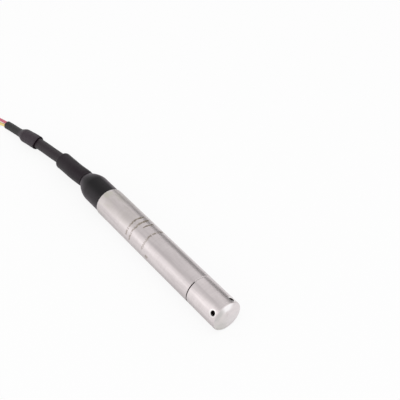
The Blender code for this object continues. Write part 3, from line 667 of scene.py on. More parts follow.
# %% Build a Geometry Nodes tree with named inputs
class Recipe(Plan):
    """A Geometry Nodes tree with named inputs, run once and turned into a plain mesh."""

    KINDS = {float: "NodeSocketFloat", int: "NodeSocketInt", Vector: "NodeSocketVector"}

    def __init__(self, name, **inputs):
        super().__init__(bpy.data.node_groups.new(name, "GeometryNodeTree"))
        face = self.tree.interface
        face.new_socket("Geometry", in_out="OUTPUT", socket_type="NodeSocketGeometry")
        self.keys = {}
        for label, kind in inputs.items():
            made = face.new_socket(label, in_out="INPUT", socket_type=self.KINDS[kind])
            self.keys[label] = made.identifier
        made = face.new_socket("Finish", in_out="INPUT", socket_type="NodeSocketMaterial")
        self.keys["Finish"] = made.identifier
        entry = self.tree.nodes.new("NodeGroupInput")
        self.given = {label: Link(self, entry.outputs[label]) for label in self.keys}

    def helix(self, turns, height, radius, thickness, fineness, sides):
        """A round wire wound about Z."""
        line = self.put("GeometryNodeCurveSpiral", values={
            "Resolution": fineness, "Rotations": turns, "Height": height,
            "Start Radius": radius, "End Radius": radius,
        })
        section = self.put("GeometryNodeCurvePrimitiveCircle", values={
            "Resolution": sides, "Radius": thickness,
        })
        return self.put("GeometryNodeCurveToMesh", values={
            "Curve": line, "Profile Curve": section, "Fill Caps": True,
        })

    def close(self, geometry):
        """Realises instances, sets the finish and ends the tree."""
        real = self.put("GeometryNodeRealizeInstances", values={0: geometry})
        values = {"Geometry": real, "Material": self.given["Finish"]}
        dressed = self.put("GeometryNodeSetMaterial", values=values)
        self.join(dressed, self.tree.nodes.new("NodeGroupOutput").inputs[0])

    def run(self, name, finish, **values):
        """A new object with this recipe's mesh for these values."""
        holder = placed(f"{name}_holder", bpy.data.meshes.new(name))
        change = holder.modifiers.new(self.tree.name, "NODES")
        change.node_group = self.tree
        for label, value in {**values, "Finish": finish}.items():
            change[self.keys[label]] = value
        bpy.context.view_layer.update()
        graph = bpy.context.evaluated_depsgraph_get()
        mesh = bpy.data.meshes.new_from_object(holder.evaluated_get(graph))
        bpy.data.objects.remove(holder)
        return placed(name, mesh)


print("recipes can be written")

# %% Cut both threads from one recipe
thread = Recipe("thread", Turns=float, Length=float, Radius=float, Ridge=float,
                Start=Vector, Phase=float)
given = thread.given
ridge = thread.helix(given["Turns"], given["Length"], given["Radius"], given["Ridge"], 48, 4)
spun = thread.put("GeometryNodeTransform", values={
    "Geometry": ridge,
    "Rotation": thread.vector(z=given["Phase"]),
})
thread.close(thread.put("GeometryNodeTransform", values={
    "Geometry": spun, "Translation": given["Start"],
    "Rotation": (0.0, math.pi / 2, 0.0),
}))
PITCH, THREAD_START, THREAD_TURNS, SUNK = 0.0010, CAP_SEAT + 0.0034, 4.5, 0.00006
spigot_thread, socket_thread = (
    thread.run(
        name, steel, Turns=THREAD_TURNS, Length=PITCH * THREAD_TURNS, Phase=phase,
        Radius=radius, Ridge=0.00017, Start=(THREAD_START, 0.0, AXIS),
    )
    for name, steel, phase, radius in (
        ("spigot_thread", tube_steel, 0.0, SPIGOT - SUNK),
        ("socket_thread", cap_steel, math.pi, SOCKET + SUNK),
    )
)
for piece in (spigot_thread, socket_thread):
    piece.data.shade_flat()
print("threads:", len(spigot_thread.data.polygons), "faces each")

# %% [markdown]
# ## Etched rows
# The tube carries rows of laser etching, painted paler towards the front as a painted highlight.
# Each row is a line of plain short bars, so Geometry Nodes spread the bars round the tube. They
# drop a few and vary the rest with a fixed seed, which from a step away gives the same grey, broken
# look, and stand them a hair proud. Towards the front a row is a row of its own, thinner and with
# more gaps.

# %% Spread bars round the tube
marks = Recipe("etched_row", Bars=int, First=float, Last=float, Station=float, Width=float,
               Length=float, Kept=float, Seed=int)
given = marks.given
JITTER, PROUD = 0.00045, 0.00003


def chance(seed_shift, values, kind="FLOAT", out=1):
    """A random value for each bar, from the row's seed."""
    values = {**values, "Seed": given["Seed"] + seed_shift if seed_shift else given["Seed"]}
    return marks.put("FunctionNodeRandomValue", {"data_type": kind}, values, out=out)


share = marks.put("GeometryNodeInputIndex") / (given["Bars"] - 1)
angle = given["First"] + (given["Last"] - given["First"]) * share
points = marks.put("GeometryNodePoints", values={
    "Count": given["Bars"],
    "Position": marks.vector(
        given["Station"] + chance(3, {2: -JITTER, 3: JITTER}),
        RADIUS * marks.maths("COSINE", angle),
        AXIS + RADIUS * marks.maths("SINE", angle),
    ),
})
bar = marks.put("GeometryNodeMeshCube", values={
    "Size": marks.vector(given["Width"], given["Length"], PROUD),
})
uneven = chance(7, {2: 0.4, 3: 1.0})
marks.close(marks.put("GeometryNodeInstanceOnPoints", values={
    "Points": points, "Instance": bar,
    "Selection": chance(0, {"Probability": given["Kept"]}, "BOOLEAN", 3),
    "Rotation": marks.vector(angle - math.pi / 2),
    "Scale": marks.vector(uneven, 1.5 - uneven * 0.5, 1.0),
}))
print("etching recipe:", len(marks.tree.nodes), "nodes")

# %% Etch the rows
etching = Finish("etched_steel", Metallic=0.75)
burnt = etching.noise((900, 700, 700), 3.0, 0.6)
# Painted highlight: the etching is painted paler towards the front, where the highlight lies on it.
front_paling = etching.step(etching.axes()[1], -0.0035, -0.0070) * 0.6
brown = etching.tint(etching.step(burnt, 0.36, 0.64), (0.20, 0.165, 0.135), (0.40, 0.35, 0.295))
etching.feed(Base_Color=etching.tint(front_paling, brown, (0.56, 0.50, 0.48)), Roughness=0.42 + burnt * 0.2)
# Bars, first and last angle, radii from the tube's rear, a bar's width and length, share kept
ROWS = {
    "etched_row_1": (11, 66, 108, 3.34, 0.0020, 0.00078, 0.88),
    "etched_row_1_worn": (14, 112, 164, 3.36, 0.0022, 0.00062, 0.84),
    "etched_row_2": (14, 60, 116, 3.775, 0.0021, 0.00082, 0.97),
    "etched_row_2_worn": (16, 120, 174, 3.775, 0.0019, 0.00060, 0.86),
    "etched_short_row": (9, 52, 98, 4.23, 0.0018, 0.00080, 0.90),
    "etched_row_3": (21, 48, 124, 5.07, 0.0023, 0.00046, 0.92),
    "etched_row_3_worn": (9, 128, 162, 5.08, 0.0019, 0.00045, 0.75),
    "etched_spot": (4, 171, 180, 5.60, 0.0036, 0.00050, 1.0),
}
ROW_UNIT, FIRST_SEED = 0.011, 11
etched = []
for seed, (name, row) in enumerate(ROWS.items(), start=FIRST_SEED):
    bars, first, last, station, width, length, keep = row
    etched.append(marks.run(
        name, etching.material, Bars=bars, First=math.radians(first), Last=math.radians(last),
        Station=TUBE_REAR + ROW_UNIT * station, Width=width, Length=length, Kept=keep, Seed=seed,
    ))
    print(name, len(etched[-1].data.polygons) // 6, "bars")

# %% [markdown]
# ## Rubber boot by a rule
# The boot is a cylinder that closes towards the cable along a power curve, which is a rule, so
# Geometry Nodes bend a flat grid into it: one side of the grid runs along the boot, the other round
# it. Soft flats run down the dome, where the mould's ribs grip the cable, and a small lip ends it.
# A Solidify modifier then gives the sheet its wall, after the seam is welded and the normals are
# put right.

# %% Bend a grid into the boot
boot_rule = Recipe("boot_rule", Radius=float, Neck=float, Straight=float, Dome=float,
                   Roundness=float, Flats=float, Lip=float)
given = boot_rule.given
grid = boot_rule.put("GeometryNodeMeshGrid", values={
    "Size X": 1.0, "Size Y": 1.0, "Vertices X": 97, "Vertices Y": 145,
})
u, v, _ = boot_rule.split(boot_rule.put("GeometryNodeInputPosition"))
turn = (v + 0.5) * (2 * math.pi)
back = (u + 0.5) * (given["Straight"] + given["Dome"])
down = boot_rule.maths("MAXIMUM", (back - given["Straight"]) / given["Dome"], 0.0)
flat = given["Flats"] * (boot_rule.maths("COSINE", turn * 6) - 1) * down * (1 - down) * 2
lip_place = (down - 0.955) / 0.03
lip = given["Lip"] * boot_rule.maths("EXPONENT", lip_place * lip_place * -1)
radius = given["Radius"] - (given["Radius"] - given["Neck"]) * down ** given["Roundness"]
radius = radius + flat + lip
bent = boot_rule.put("GeometryNodeSetPosition", values={
    "Geometry": grid,
    "Position": boot_rule.vector(
        TUBE_REAR - SEAT_GAP - back,
        radius * boot_rule.maths("COSINE", turn),
        AXIS + radius * boot_rule.maths("SINE", turn),
    ),
})
boot_rule.close(boot_rule.put("GeometryNodeMergeByDistance", values={
    "Geometry": bent, "Distance": 1e-6,
}))
print("boot rule:", len(boot_rule.tree.nodes), "nodes")

# %% [markdown]
# ## Boot rubber
# Matt rubber scatters light at grazing angles, which a sheen shows better than plain gloss does. It
# is nearly black on top. Its colour is painted lighter on the far side as a painted sheen, on the
# front as a painted highlight, and at the neck as a painted glint.

# %% Mix the rubber and mould the boot
rubber = Finish(
    "boot_rubber", Specular_IOR_Level=0.24, Sheen_Weight=0.32, Sheen_Roughness=0.35,
    Sheen_Tint=(1.0, 0.86, 0.97, 1.0),
)
mottle = rubber.noise(420, 4.0, 0.6)
bloom = rubber.noise((55, 90, 90))
x, y, _ = rubber.axes()
# Painted light on the boot: a painted glint at the neck, a painted sheen on the far side and a
# painted highlight on the front.
neck_painted_glint = rubber.step(x, BOOT_END + 0.0045, BOOT_END + 0.0005) * 0.6
back_painted_sheen = rubber.step(y, 0.0035, 0.0068) * (0.5 + mottle * 0.8)
front_painted_highlight = rubber.step(y, -0.0045, -0.0098)
clean = rubber.tint(
    mottle * 0.6 + bloom * 0.4, (0.0006, 0.0003, 0.0008), (0.0032, 0.0022, 0.0036)
)
# The painted front highlight and the painted back sheen are mixed into the base colour.
with_front_highlight = rubber.tint(front_painted_highlight, clean, (0.018, 0.0150, 0.0175))
with_back_sheen = rubber.tint(back_painted_sheen, with_front_highlight, (0.060, 0.054, 0.059))
rubber.feed(
    Base_Color=rubber.tint(neck_painted_glint, with_back_sheen, (0.030, 0.026, 0.030)),
    Roughness=0.42 + bloom * 0.16 + mottle * 0.06,
).bump(rubber.noise(3800), 0.00001, 0.6)
boot = boot_rule.run(
    "boot_skin", rubber.material, Radius=0.0104, Neck=0.0060, Straight=0.0177,
    Dome=0.0123, Roundness=1.8, Flats=0.00012, Lip=0.00035,
)


def put_right(piece, sharp=40):
    """Welds a piece and turns its faces outwards."""
    bm = bmesh.new()
    bm.from_mesh(piece.data)
    settle(bm, piece.data, sharp)


put_right(boot)
lowest = min(boot.data.polygons, key=lambda face: face.center.z)
if lowest.normal.z > 0:
    boot.data.flip_normals()
BOOT_WALL = 0.0015
wall = boot.modifiers.new("wall", "SOLIDIFY")
wall.thickness, wall.offset, wall.use_rim = BOOT_WALL, -1.0, True
apply_to(boot, wall)
shade(boot.data, 40)
print("boot skin:", len(boot.data.polygons), "faces")

# %% [markdown]
# ## Plastic shrunk on a bent cable
# The sleeve and the breakout boot are plastic shrunk on with hot air, and both follow the bending
# cable. A sweep builds them: rings of points stand square to the route, and a rule says how far
# each point is from it. A second rule slides the points along, for an end that was cut askew. A UV
# map in millimetres, along and round, lets patterns follow the bend.

# %% Sweep a closed outline along a route
def swept(name, outline, route, sides, finish, shape, cut=None):
    """Turns a closed outline of (distance, radius, outside) points about a route. shape(distance,
    angle) gives how far an outside point stands off, cut(distance, spoke) how far a point slides
    along the route, and the UV map holds distance and girth in millimetres."""
    bm = bmesh.new()
    uv = bm.loops.layers.uv.new("UVMap")
    loops = []
    for distance, radius, outside in outline:
        centre, side, up = frame_on(route, distance)
        ring = []
        for i in range(sides):
            a = 2 * math.pi * (i + 0.5) / sides
            r = radius + (shape(distance, a) if outside else 0.0)
            spoke = side * math.cos(a) + up * math.sin(a)
            slide = cut(distance, spoke) if cut else 0.0
            ring.append(bm.verts.new(centre + r * spoke + slide * side.cross(up)))
        loops.append((distance, radius, ring))
    for (d0, r0, ring), (d1, _, following) in zip(loops, loops[1:] + loops[:1]):
        for i in range(sides):
            j = (i + 1) % sides
            face = bm.faces.new((ring[i], ring[j], following[j], following[i]))
            round_mm = [2000 * math.pi * r0 * k / sides for k in (i, i + 1, i + 1, i)]
            for loop, across, d in zip(face.loops, round_mm, (d0, d0, d1, d1)):
                loop[uv].uv = (1000 * d, across)
    return finished(bm, name, finish, 50)


print("outlines can be swept")

# %% [markdown]
# ## Shrink plastic
# The plastic keeps faint lines along it from the die that drew it, and it shrinks into soft folds
# round it. Noise on the UV map gives both, squeezed one way or the other. Dust and hands add a
# cloud that knows nothing of the bend, so that one reads object coordinates.

# %% Mix the shrink plastic
def shrunk(name, light, dark, gloss, roughness, tail=None, tail_start=0.0):
    """Black shrink plastic: faint draw lines along it and soft scuffs. Past a distance in
    millimetres it can turn to the colour of its tail."""
    made = Finish(name, Specular_IOR_Level=gloss)
    flat = made.put("ShaderNodeTexCoord", out="UV")

    def drawn(stretch):
        """Noise that follows the cable, stretched along and round it."""
        return made.noise(at=made.put(
            "ShaderNodeVectorMath", {"operation": "MULTIPLY"}, {0: flat, 1: stretch}
        ))

    lines, folds = drawn((0.10, 2.6, 1.0)), drawn((0.9, 0.12, 1.0))
    cloud, grain = made.noise(260, 3.0, 0.6), made.noise(3000)
    colour = made.tint(cloud * 0.7 + lines * 0.3, dark, light)
    if tail:
        past = made.step(made.split(flat)[0], tail_start, tail_start + 4.0)
        colour = made.tint(past, colour, tail)
    made.feed(Base_Color=colour, Roughness=roughness + cloud * 0.12 - lines * 0.05)
    made.bump(lines * 0.45 + folds * 0.15 + grain * 0.4, 0.00005, 0.5)
    return made.material


shrink_black = shrunk(
    "shrink_black", (0.0135, 0.0072, 0.0120), (0.0075, 0.0028, 0.0062), 0.24, 0.38
)
print("shrink plastic mixed")

# %% [markdown]
# ## Sleeve
# The sleeve stiffens the cable where it leaves the boot. It is a plain tube, so its outline is two
# runs of points joined by a rounded shoulder. Its unevenness is a few slow waves round and along,
# a pinch where the boot's lip presses and a swell where the free end shrank last.

# %% Shrink the sleeve on
def run_of(start, end, count, radius, outside):
    """Outline points from one distance to another, at a radius or at what a rule says."""
    places = [start + (end - start) * i / count for i in range(count + 1)]
    return [(d, radius(d) if callable(radius) else radius, outside) for d in places]


sleeve_start, sleeve_end = NECK + SEAT_GAP, NECK + SEAT_GAP + SLEEVE_LENGTH
SHOULDER = 0.0009


def sleeve_unevenness(distance, angle):
    """Slow waves, a pinch by the boot and a swell at the free end."""
    run = (distance - sleeve_start) * 1000
    ridge = 0.00007 * math.cos(2 * angle + 0.05 * run) + 0.00004 * math.cos(3 * angle - 0.11 * run)
    pinch = -0.00020 * math.exp(-((run - 1.0) / 1.5) ** 2)
    swell = 0.00008 * math.exp(-((run - 30.6) / 1.4) ** 2)
    return ridge + pinch + swell


shoulder = rounded((sleeve_end - SHOULDER, SLEEVE_RADIUS - SHOULDER), SHOULDER, 75, 0, 5)
sleeve_outline = [
    (sleeve_start, CABLE_BORE, False),
    (sleeve_start, SLEEVE_RADIUS - 0.0003, True),
    *run_of(sleeve_start + 0.0003, sleeve_end - SHOULDER, 76, SLEEVE_RADIUS, True),
    *[(distance, radius, True) for distance, radius in shoulder],
    (sleeve_end - 0.0001, CABLE_BORE + 0.0002, False),
    *run_of(sleeve_end - 0.0004, sleeve_start + 0.001, 18, CABLE_BORE, False),
]
AROUND = 72
sleeve = swept(
    "sleeve_skin", sleeve_outline, cable_line, AROUND, shrink_black, sleeve_unevenness
)
print("sleeve skin:", len(sleeve.data.polygons), "faces")

# %% [markdown]
# ## Breakout boot
# The second boot grips the cable's end with its wide half and the two leads with its nozzle. The
# radius is a rule of its own, wide, then a soft taper to the nozzle. The taper has pleats, because
# plastic gathers there, and the nozzle is a little oval. The open end was cut by hand, uneven.

# %% Give the breakout boot its rules
TAPER, NOZZLE = BREAKOUT + 0.0150, BREAKOUT + 0.0210


def soft_step(value, low, high):
    """Runs smoothly from 0 to 1 while a value goes from low to high."""
    t = min(1.0, max(0.0, (value - low) / (high - low)))
    return t * t * (3 - 2 * t)


def breakout_radius(distance):
    """Wide over the cable, then a soft taper to the nozzle."""
    run = soft_step(distance, TAPER - 0.0008, NOZZLE + 0.0010)
    wide = BREAKOUT_RADIUS + 0.00006 * math.sin((distance - BREAKOUT) * 380)
    return wide + (NOZZLE_RADIUS - wide) * run


def breakout_folds(distance, angle):
    """Pleats in the taper, slow waves, and a nozzle pressed a little oval by the two leads."""
    run = (distance - BREAKOUT) * 1000
    in_taper = math.exp(-(((distance - (TAPER + NOZZLE) / 2) / 0.0042) ** 2))
    pleats = 0.00013 * in_taper * math.cos(5 * angle + 0.6)
    waves = 0.00006 * math.cos(2 * angle + 0.07 * run) + 0.00003 * math.sin(1.6 * run + 2 * angle)
    past = soft_step(distance, NOZZLE, NOZZLE + 0.006)
    oval = -0.00022 * past * math.sin(angle) ** 2
    return pleats + waves + oval


def uneven_cut(distance, spoke):
    """The open end reaches further over the cable on top and in front than at the sides."""
    upper_front = max(0.0, spoke.dot(Vector((0.0, -0.56, 0.83))))
    return 0.0024 * upper_front ** 2 * (1 - soft_step(distance, BREAKOUT, BREAKOUT + 0.009))


print("taper from", round(TAPER * 1000, 1), "to", round(NOZZLE * 1000, 1), "mm along the cable")

# %% Shrink the breakout boot on
breakout_outline = [
    (BREAKOUT + 0.0003, CABLE_BORE, False),
    (BREAKOUT, CABLE_BORE + 0.0003, False),
    (BREAKOUT, BREAKOUT_RADIUS - 0.0003, True),
    (BREAKOUT + 0.0001, BREAKOUT_RADIUS - 0.0001, True),
    *run_of(BREAKOUT + 0.0003, MOUTH - 0.0003, 90, breakout_radius, True),
    (MOUTH - 0.00005, NOZZLE_RADIUS - 0.0002, True),
    (MOUTH, NOZZLE_RADIUS - 0.00055, False),
    *run_of(MOUTH - 0.0006, NOZZLE, 10, NOZZLE_RADIUS - 0.0007, False),
    (TAPER, CABLE_BORE, False),
]
breakout_black = shrunk(
    "breakout_black", (0.032, 0.0200, 0.0290), (0.020, 0.0100, 0.0170), 0.35, 0.44,
    tail=(0.016, 0.0148, 0.0150), tail_start=1000 * NOZZLE - 2,
)
breakout = swept(
    "breakout_skin", breakout_outline, cable_line, AROUND, breakout_black, breakout_folds,
    uneven_cut,
)
print("breakout skin:", len(breakout.data.polygons), "faces")

# %% [markdown]
# ## Bare strands at the leads' ends
# Each lead is stripped for its terminal, which bares a bundle of tinned strands with a slow twist.
# One strand is a helix with a round profile. Geometry Nodes turn copies of it about the bundle's
# axis, add a straight core strand and carry the bundle to the lead's end.

# %% Twist the strands
bundle = Recipe("bundle", Strands=int, Length=float, Radius=float, Thickness=float,
                Start=Vector, Rotation=Vector)
given = bundle.given
TWIST = 0.75
strand = bundle.helix(TWIST, given["Length"], given["Radius"], given["Thickness"], 16, 8)
ring = bundle.put("GeometryNodePoints", values={"Count": given["Strands"]})
spread = bundle.put("GeometryNodeInstanceOnPoints", values={
    "Points": ring, "Instance": strand,
    "Rotation": bundle.vector(
        z=bundle.put("GeometryNodeInputIndex") * 2 * math.pi / given["Strands"]
    ),
})
core = bundle.put("GeometryNodeMeshCylinder", values={
    "Vertices": 8, "Radius": given["Thickness"], "Depth": given["Length"] * 0.98,
})
core = bundle.put("GeometryNodeTransform", values={
    "Geometry": core, "Translation": bundle.vector(z=given["Length"] / 2),
})
both = bundle.tree.nodes.new("GeometryNodeJoinGeometry")
bundle.join(spread, both.inputs[0])
bundle.join(core, both.inputs[0])
bundle.close(bundle.put("GeometryNodeTransform", values={
    "Geometry": Link(bundle, both.outputs[0]),
    "Translation": given["Start"], "Rotation": given["Rotation"],
}))
print("bundle recipe:", len(bundle.tree.nodes), "nodes")

# %% Tin the strands and set them in the leads
BARE_END = 0.0068
tinned = Finish("tinned_copper", Metallic=1.0)
dull = tinned.noise(2400, 3.0, 0.6)
tinned.feed(
    Base_Color=tinned.tint(dull, (0.80, 0.77, 0.73), (0.60, 0.55, 0.48)),
    Roughness=0.26 + dull * 0.2,
).bump(dull, 0.00001, 0.5)
strands = {}
for colour, line in lead_lines.items():
    length = knots_of(line)[-1]
    start, end = place_on(line, length + SEAT_GAP / 3), place_on(line, length + BARE_END)
    turn = Vector((0, 0, 1)).rotation_difference(end - start).to_euler()
    strands[colour] = bundle.run(
        f"{colour}_strands", tinned.material, Strands=6, Length=(end - start).length,
        Radius=0.00036, Thickness=0.00018, Start=tuple(start), Rotation=tuple(turn),
    )
    put_right(strands[colour])
print("strands:", len(strands["red"].data.polygons), "faces each")

# %% [markdown]
# ## Jacket and insulation
# The cable's jacket is matt and slightly soft, with a fine grain and pale scuffs from handling.
# The leads' insulation is a smooth, waxy plastic. Red plastic in bright light turns a little pink,
# so its lighter tone does too. The cores inside the probe take the same finishes.

# %% Mix jacket and insulation
def jacket(name, light, dark):
    """A soft matt plastic with a grain and scuffs."""
    made = Finish(name, Specular_IOR_Level=0.33)
    grain = made.noise(2400)
    cloud = made.noise((120, 320, 320), 3.0, 0.6)
    scuff = made.step(made.noise((350, 900, 900), 4.0, 0.7), 0.60, 0.74)
    made.feed(
        Base_Color=made.tint(scuff * 0.25, made.tint(cloud, dark, light), times(1.6, light)),
        Roughness=0.37 + cloud * 0.12 + scuff * 0.08,
    ).bump(grain, 0.00002, 0.5)
    return made.material


def insulation(name, light, dark):
    """A smooth waxy plastic."""
    made = Finish(name)
    cloud = made.noise(300)
    fine = made.noise(3600)
    made.feed(
        Base_Color=made.tint(cloud, dark, light), Roughness=0.32 + cloud * 0.12 + fine * 0.05
    ).bump(fine, 0.000008, 0.5)
    return made.material


cable.data.materials.append(
    jacket("cable_jacket", (0.0170, 0.0085, 0.0140), (0.0105, 0.0035, 0.0080))
)
insulations = {
    "red": insulation("red_insulation", (0.58, 0.125, 0.185), (0.50, 0.085, 0.135)),
    "yellow": insulation("yellow_insulation", (0.86, 0.70, 0.27), (0.78, 0.60, 0.18)),
}
for colour, lead in leads.items():
    lead.data.materials.append(insulations[colour])
print("cords dressed")

# %% [markdown]
# ## Finishes for the working parts
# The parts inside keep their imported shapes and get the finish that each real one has: machined
# steel and brass show fine lathe rings, the fired ceramic is chalky, the seals are matt rubber,
# and the boards are green lacquer over a woven glass core.

# %% Mix the inner finishes
def machined(name, light, dark, roughness):
    """A metal with fine lathe rings."""
    made = Finish(name, Metallic=1.0)
    rings = made.noise((4200, 120, 120), 3.0, 0.6)
    cloud = made.noise(200, 3.0, 0.6)
    made.feed(
        Base_Color=made.tint(cloud, dark, light), Roughness=roughness + cloud * 0.1 + rings * 0.06
    ).bump(rings, 0.000008, 0.7)
    return made.material


def speckled(name, light, dark, roughness, size, metallic=0.0):
    """A matt stuff with two tones in specks of a size in metres."""
    made = Finish(name, Metallic=metallic)
    specks = made.noise(1.0 / size, 4.0, 0.65)
    fine = made.noise(6.0 / size)
    made.feed(
        Base_Color=made.tint(specks, dark, light), Roughness=roughness + specks * 0.12
    ).bump(fine, 0.00001, 0.5)
    return made.material


def lacquered_board(name):
    """Green lacquer over two crossing sets of threads."""
    made = Finish(name, Coat_Roughness=0.2)
    threads = {"Vector": made.place(), "Scale": 900.0, "Distortion": 0.6}
    weave_x, weave_y = (
        made.put("ShaderNodeTexWave", {"bands_direction": way}, threads, out=1) for way in "XY"
    )
    cloud = made.noise(400)
    made.feed(
        Base_Color=made.tint(
            weave_x * weave_y * 0.5 + cloud * 0.5, (0.012, 0.10, 0.035), (0.035, 0.20, 0.08)
        ),
        Roughness=0.30 + cloud * 0.1,
        Coat_Weight=0.35 + cloud * 0.2,
    ).bump(weave_x + weave_y, 0.000008, 0.5)
    return made.material


print("inner finishes can be mixed")

# %% Dress the inner parts
lathe_steel = machined("lathe_steel", (0.66, 0.65, 0.64), (0.56, 0.55, 0.54), 0.30)
seal = speckled("seal_rubber", (0.026, 0.026, 0.026), (0.014, 0.014, 0.014), 0.50, 0.0008)
fired = speckled("fired_ceramic", (0.88, 0.86, 0.81), (0.80, 0.78, 0.72), 0.38, 0.0006)
gilt = speckled("gilt_pins", (0.92, 0.70, 0.32), (0.84, 0.60, 0.24), 0.24, 0.0003, metallic=1.0)
board = lacquered_board("board_lacquer")
moulded = speckled("chip_resin", (0.030, 0.030, 0.031), (0.017, 0.017, 0.018), 0.46, 0.0004)
can = machined("can_metal", (0.80, 0.80, 0.81), (0.70, 0.70, 0.72), 0.28)
cream = speckled("cradle_plastic", (0.78, 0.76, 0.71), (0.72, 0.70, 0.64), 0.44, 0.0012)
brass = machined("brass", (0.84, 0.64, 0.32), (0.74, 0.54, 0.24), 0.26)
milky = speckled("vent_plastic", (0.84, 0.84, 0.81), (0.76, 0.76, 0.73), 0.36, 0.0010)
INNER = {
    lathe_steel: ["retaining_ring", "gland_body", "gland_nut", "cable_clamp_ring"],
    seal: ["cap_seal_ring", "cell_seal_ring", "gland_seal_ring", "gland_grommet"],
    fired: ["ceramic_cell", "ceramic_membrane", "surge_arrester"],
    gilt: ["cell_pin_1", "cell_pin_2", "cell_pin_3"],
    board: ["cell_board", "main_board"],
    moulded: ["board_header", "signal_chip", "output_chip"],
    can: ["filter_capacitor"],
    cream: ["board_cradle", "terminal_block"],
    brass: ["thrust_washer"],
    milky: ["vent_tube"],
    insulations["red"]: ["red_core"],
    insulations["yellow"]: ["yellow_core"],
}
for finish, names in INNER.items():
    for name in names:
        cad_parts[name].data.materials[0] = finish
print("inner parts dressed:", sum(map(len, INNER.values())))

# %% [markdown]
# ## Table and surroundings
# The probe lies on a white table in soft light. The table and the surroundings are plain white to
# the camera, which a glowing surface mixed in for the camera's rays does without adding light to
# the probe. Reflections see the table white too, but darker close under the probe and far behind
# it, and the table keeps a faint shadow.

# %% Lay the table
TABLE_HALF = 8.0
CORNERS = ((-1, -1), (1, -1), (1, 1), (-1, 1))


def sheet(name, half_width, half_height):
    """A flat rectangle about the origin."""
    mesh = bpy.data.meshes.new(name)
    corners = [(half_width * x, half_height * y, 0) for x, y in CORNERS]
    mesh.from_pydata(corners, [], [(0, 1, 2, 3)])
    made = placed(name, mesh)
    return made


def background_rays(plan, reflected=1.0):
    """1 for rays from the camera or through glass, and a share of it for reflected ones."""
    path = plan.tree.nodes.new("ShaderNodeLightPath")
    camera_ray, glossy, through = (
        Link(plan, path.outputs[f"Is {ray} Ray"]) for ray in ("Camera", "Glossy", "Transmission")
    )
    return plan.maths("MINIMUM", camera_ray + through + glossy * reflected, 1.0)


GLOW_SHARE = 0.88
floor = sheet("table_top", TABLE_HALF, TABLE_HALF)
floor.location.z = -0.0001
table = Finish("table_white", Base_Color=(0.86, 0.86, 0.86, 1.0), Roughness=0.9)
glow = table.put("ShaderNodeEmission", values={"Color": (1, 1, 1, 1), "Strength": 1.0})
x, y, _ = table.axes()
beside_rear = table.step(x, -0.02, -0.10)
far_behind = 1 - table.step(y, 0.02, 0.08) * (0.28 + beside_rear * 0.35)
aside = table.maths("MAXIMUM", table.maths("ABSOLUTE", y), (x - NOSE_END) * 2.0)
seen = background_rays(table, table.step(aside, 0.005, 0.026) * far_behind)
mixed = table.put("ShaderNodeMixShader", values={
    0: seen * GLOW_SHARE,
    1: Link(table, table.shader.outputs[0]),
    2: glow,
})
table.join(mixed, table.tree.nodes["Material Output"].inputs["Surface"])
floor.data.materials.append(table.material)
print("table laid")

# %% Make the surroundings white
ROOM_LEVEL = 0.84
world = bpy.data.worlds.new("studio")
bpy.context.scene.world = world
world.use_nodes = True
room = Plan(world.node_tree)
back = world.node_tree.nodes["Background"]
back.inputs["Color"].default_value = (1, 1, 1, 1)
seen = background_rays(room)
room.join(seen + (1 - seen) * ROOM_LEVEL, back.inputs["Strength"])
print("surroundings are white")

# %% [markdown]
# ## Lights and cards
# A steel cylinder shows what stands around it, so a photographer shapes it with cards: a low
# softbox at the front gives the long highlight, and grey cards behind and above give the darker
# bands. Turned askew to the probe, they make the bands widen towards one end. The cards act on
# reflections alone.

# %% Hang the softboxes and the grey cards
def hang(made, angle, reach, shift, skew):
    """Hangs a lamp or card beside the probe, its width along X, and turns it to the axis. The
    angle goes round the probe from behind, over the top, to the front. The skew is in its plane."""
    turn = math.radians(angle)
    spot = Vector((shift, reach * math.cos(turn), AXIS + reach * math.sin(turn)))
    facing = Matrix.Rotation(turn - math.pi / 2, 4, "X")
    facing = facing @ Matrix.Rotation(math.radians(skew), 4, "Z")
    made.matrix_basis = Matrix.Translation(spot) @ facing
    return made


def softbox(name, angle, reach, shift, width, height, radiance, skew=0.0):
    """A rectangular lamp, as bright as its radiance wherever it is seen."""
    lamp = bpy.data.lights.new(name, "AREA")
    lamp.shape, lamp.size, lamp.size_y = "RECTANGLE", width, height
    lamp.energy = radiance * math.pi * width * height
    made = hang(placed(name, lamp), angle, reach, shift, skew)
    made.visible_camera = False
    return made


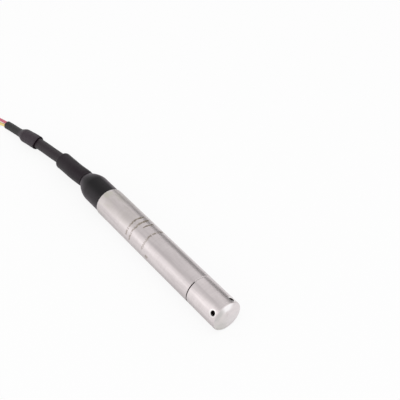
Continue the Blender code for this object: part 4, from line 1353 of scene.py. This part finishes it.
def card(name, angle, reach, shift, width, height, level, fade=0.0, skew=0.0):
    """A grey card that only reflections see. Its level can fade across it, by so much a metre."""
    made = hang(sheet(name, width / 2, height / 2), angle, reach, shift, skew)
    made.visible_camera = made.visible_diffuse = made.visible_shadow = False
    paint = bpy.data.materials.new(name)
    paint.use_nodes = True
    paint.node_tree.nodes.remove(paint.node_tree.nodes["Principled BSDF"])
    plan = Plan(paint.node_tree)
    across = plan.split(plan.put("ShaderNodeTexCoord", out="Object"))[1]
    tone = plan.put("ShaderNodeEmission", values={"Color": across * fade + level, "Strength": 1.0})
    plan.join(tone, paint.node_tree.nodes["Material Output"].inputs["Surface"])
    made.data.materials.append(paint)


# Angle, reach, shift along the probe, width, height, and radiance or level
softbox("front_softbox", 164.5, 1.2, -0.76, 1.9, 0.68, 0.36, skew=33)
softbox("top_softbox", 100, 1.6, 0.40, 1.0, 1.0, 1.6).visible_glossy = False
card("back_card", 15.8, 1.2, -0.76, 2.2, 0.70, 0.28, skew=-18)
card("ceiling_card", 82, 1.5, -1.05, 2.8, 3.1, 0.79, fade=0.07, skew=10)
print("lights and cards hung")

# %% [markdown]
# ## What each piece rides on and stands for
# The tube, the boots and the cords belong to the probe's body, and the cap's skin turns with the
# cap. A skin that stands for a solid hides it, and the solid stays for collision.

# %% Bind the pieces to the bodies
for piece, slot, nodes in (
    (tube, "satin_steel", ["steel_housing"]),
    (spigot_thread, "satin_steel", []),
    (boot, "boot_rubber", ["rubber_boot"]),
    (sleeve, "shrink_sleeve", ["cable_sleeve"]),
    (breakout, "breakout_rubber", ["breakout_boot"]),
    (cable, "cable_jacket", ["cable"]),
    (leads["red"], "red_insulation", ["red_lead"]),
    (leads["yellow"], "yellow_insulation", ["yellow_lead"]),
    (strands["red"], "tinned_copper", ["red_lead_tip"]),
    (strands["yellow"], "tinned_copper", ["yellow_lead_tip"]),
    *[(row, "satin_steel", []) for row in etched],
):
    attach(piece, "probe")
    if nodes:
        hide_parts(*nodes)
for piece in (cap, socket_thread):
    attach(piece, "cap")
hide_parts("nose_cap")

cable_length = knots_of(cable_run)[-1]
for colour, lead in leads.items():
    tuple(place_on(cable_line, MOUTH))
    knots_of(lead_lines[colour])[-1]
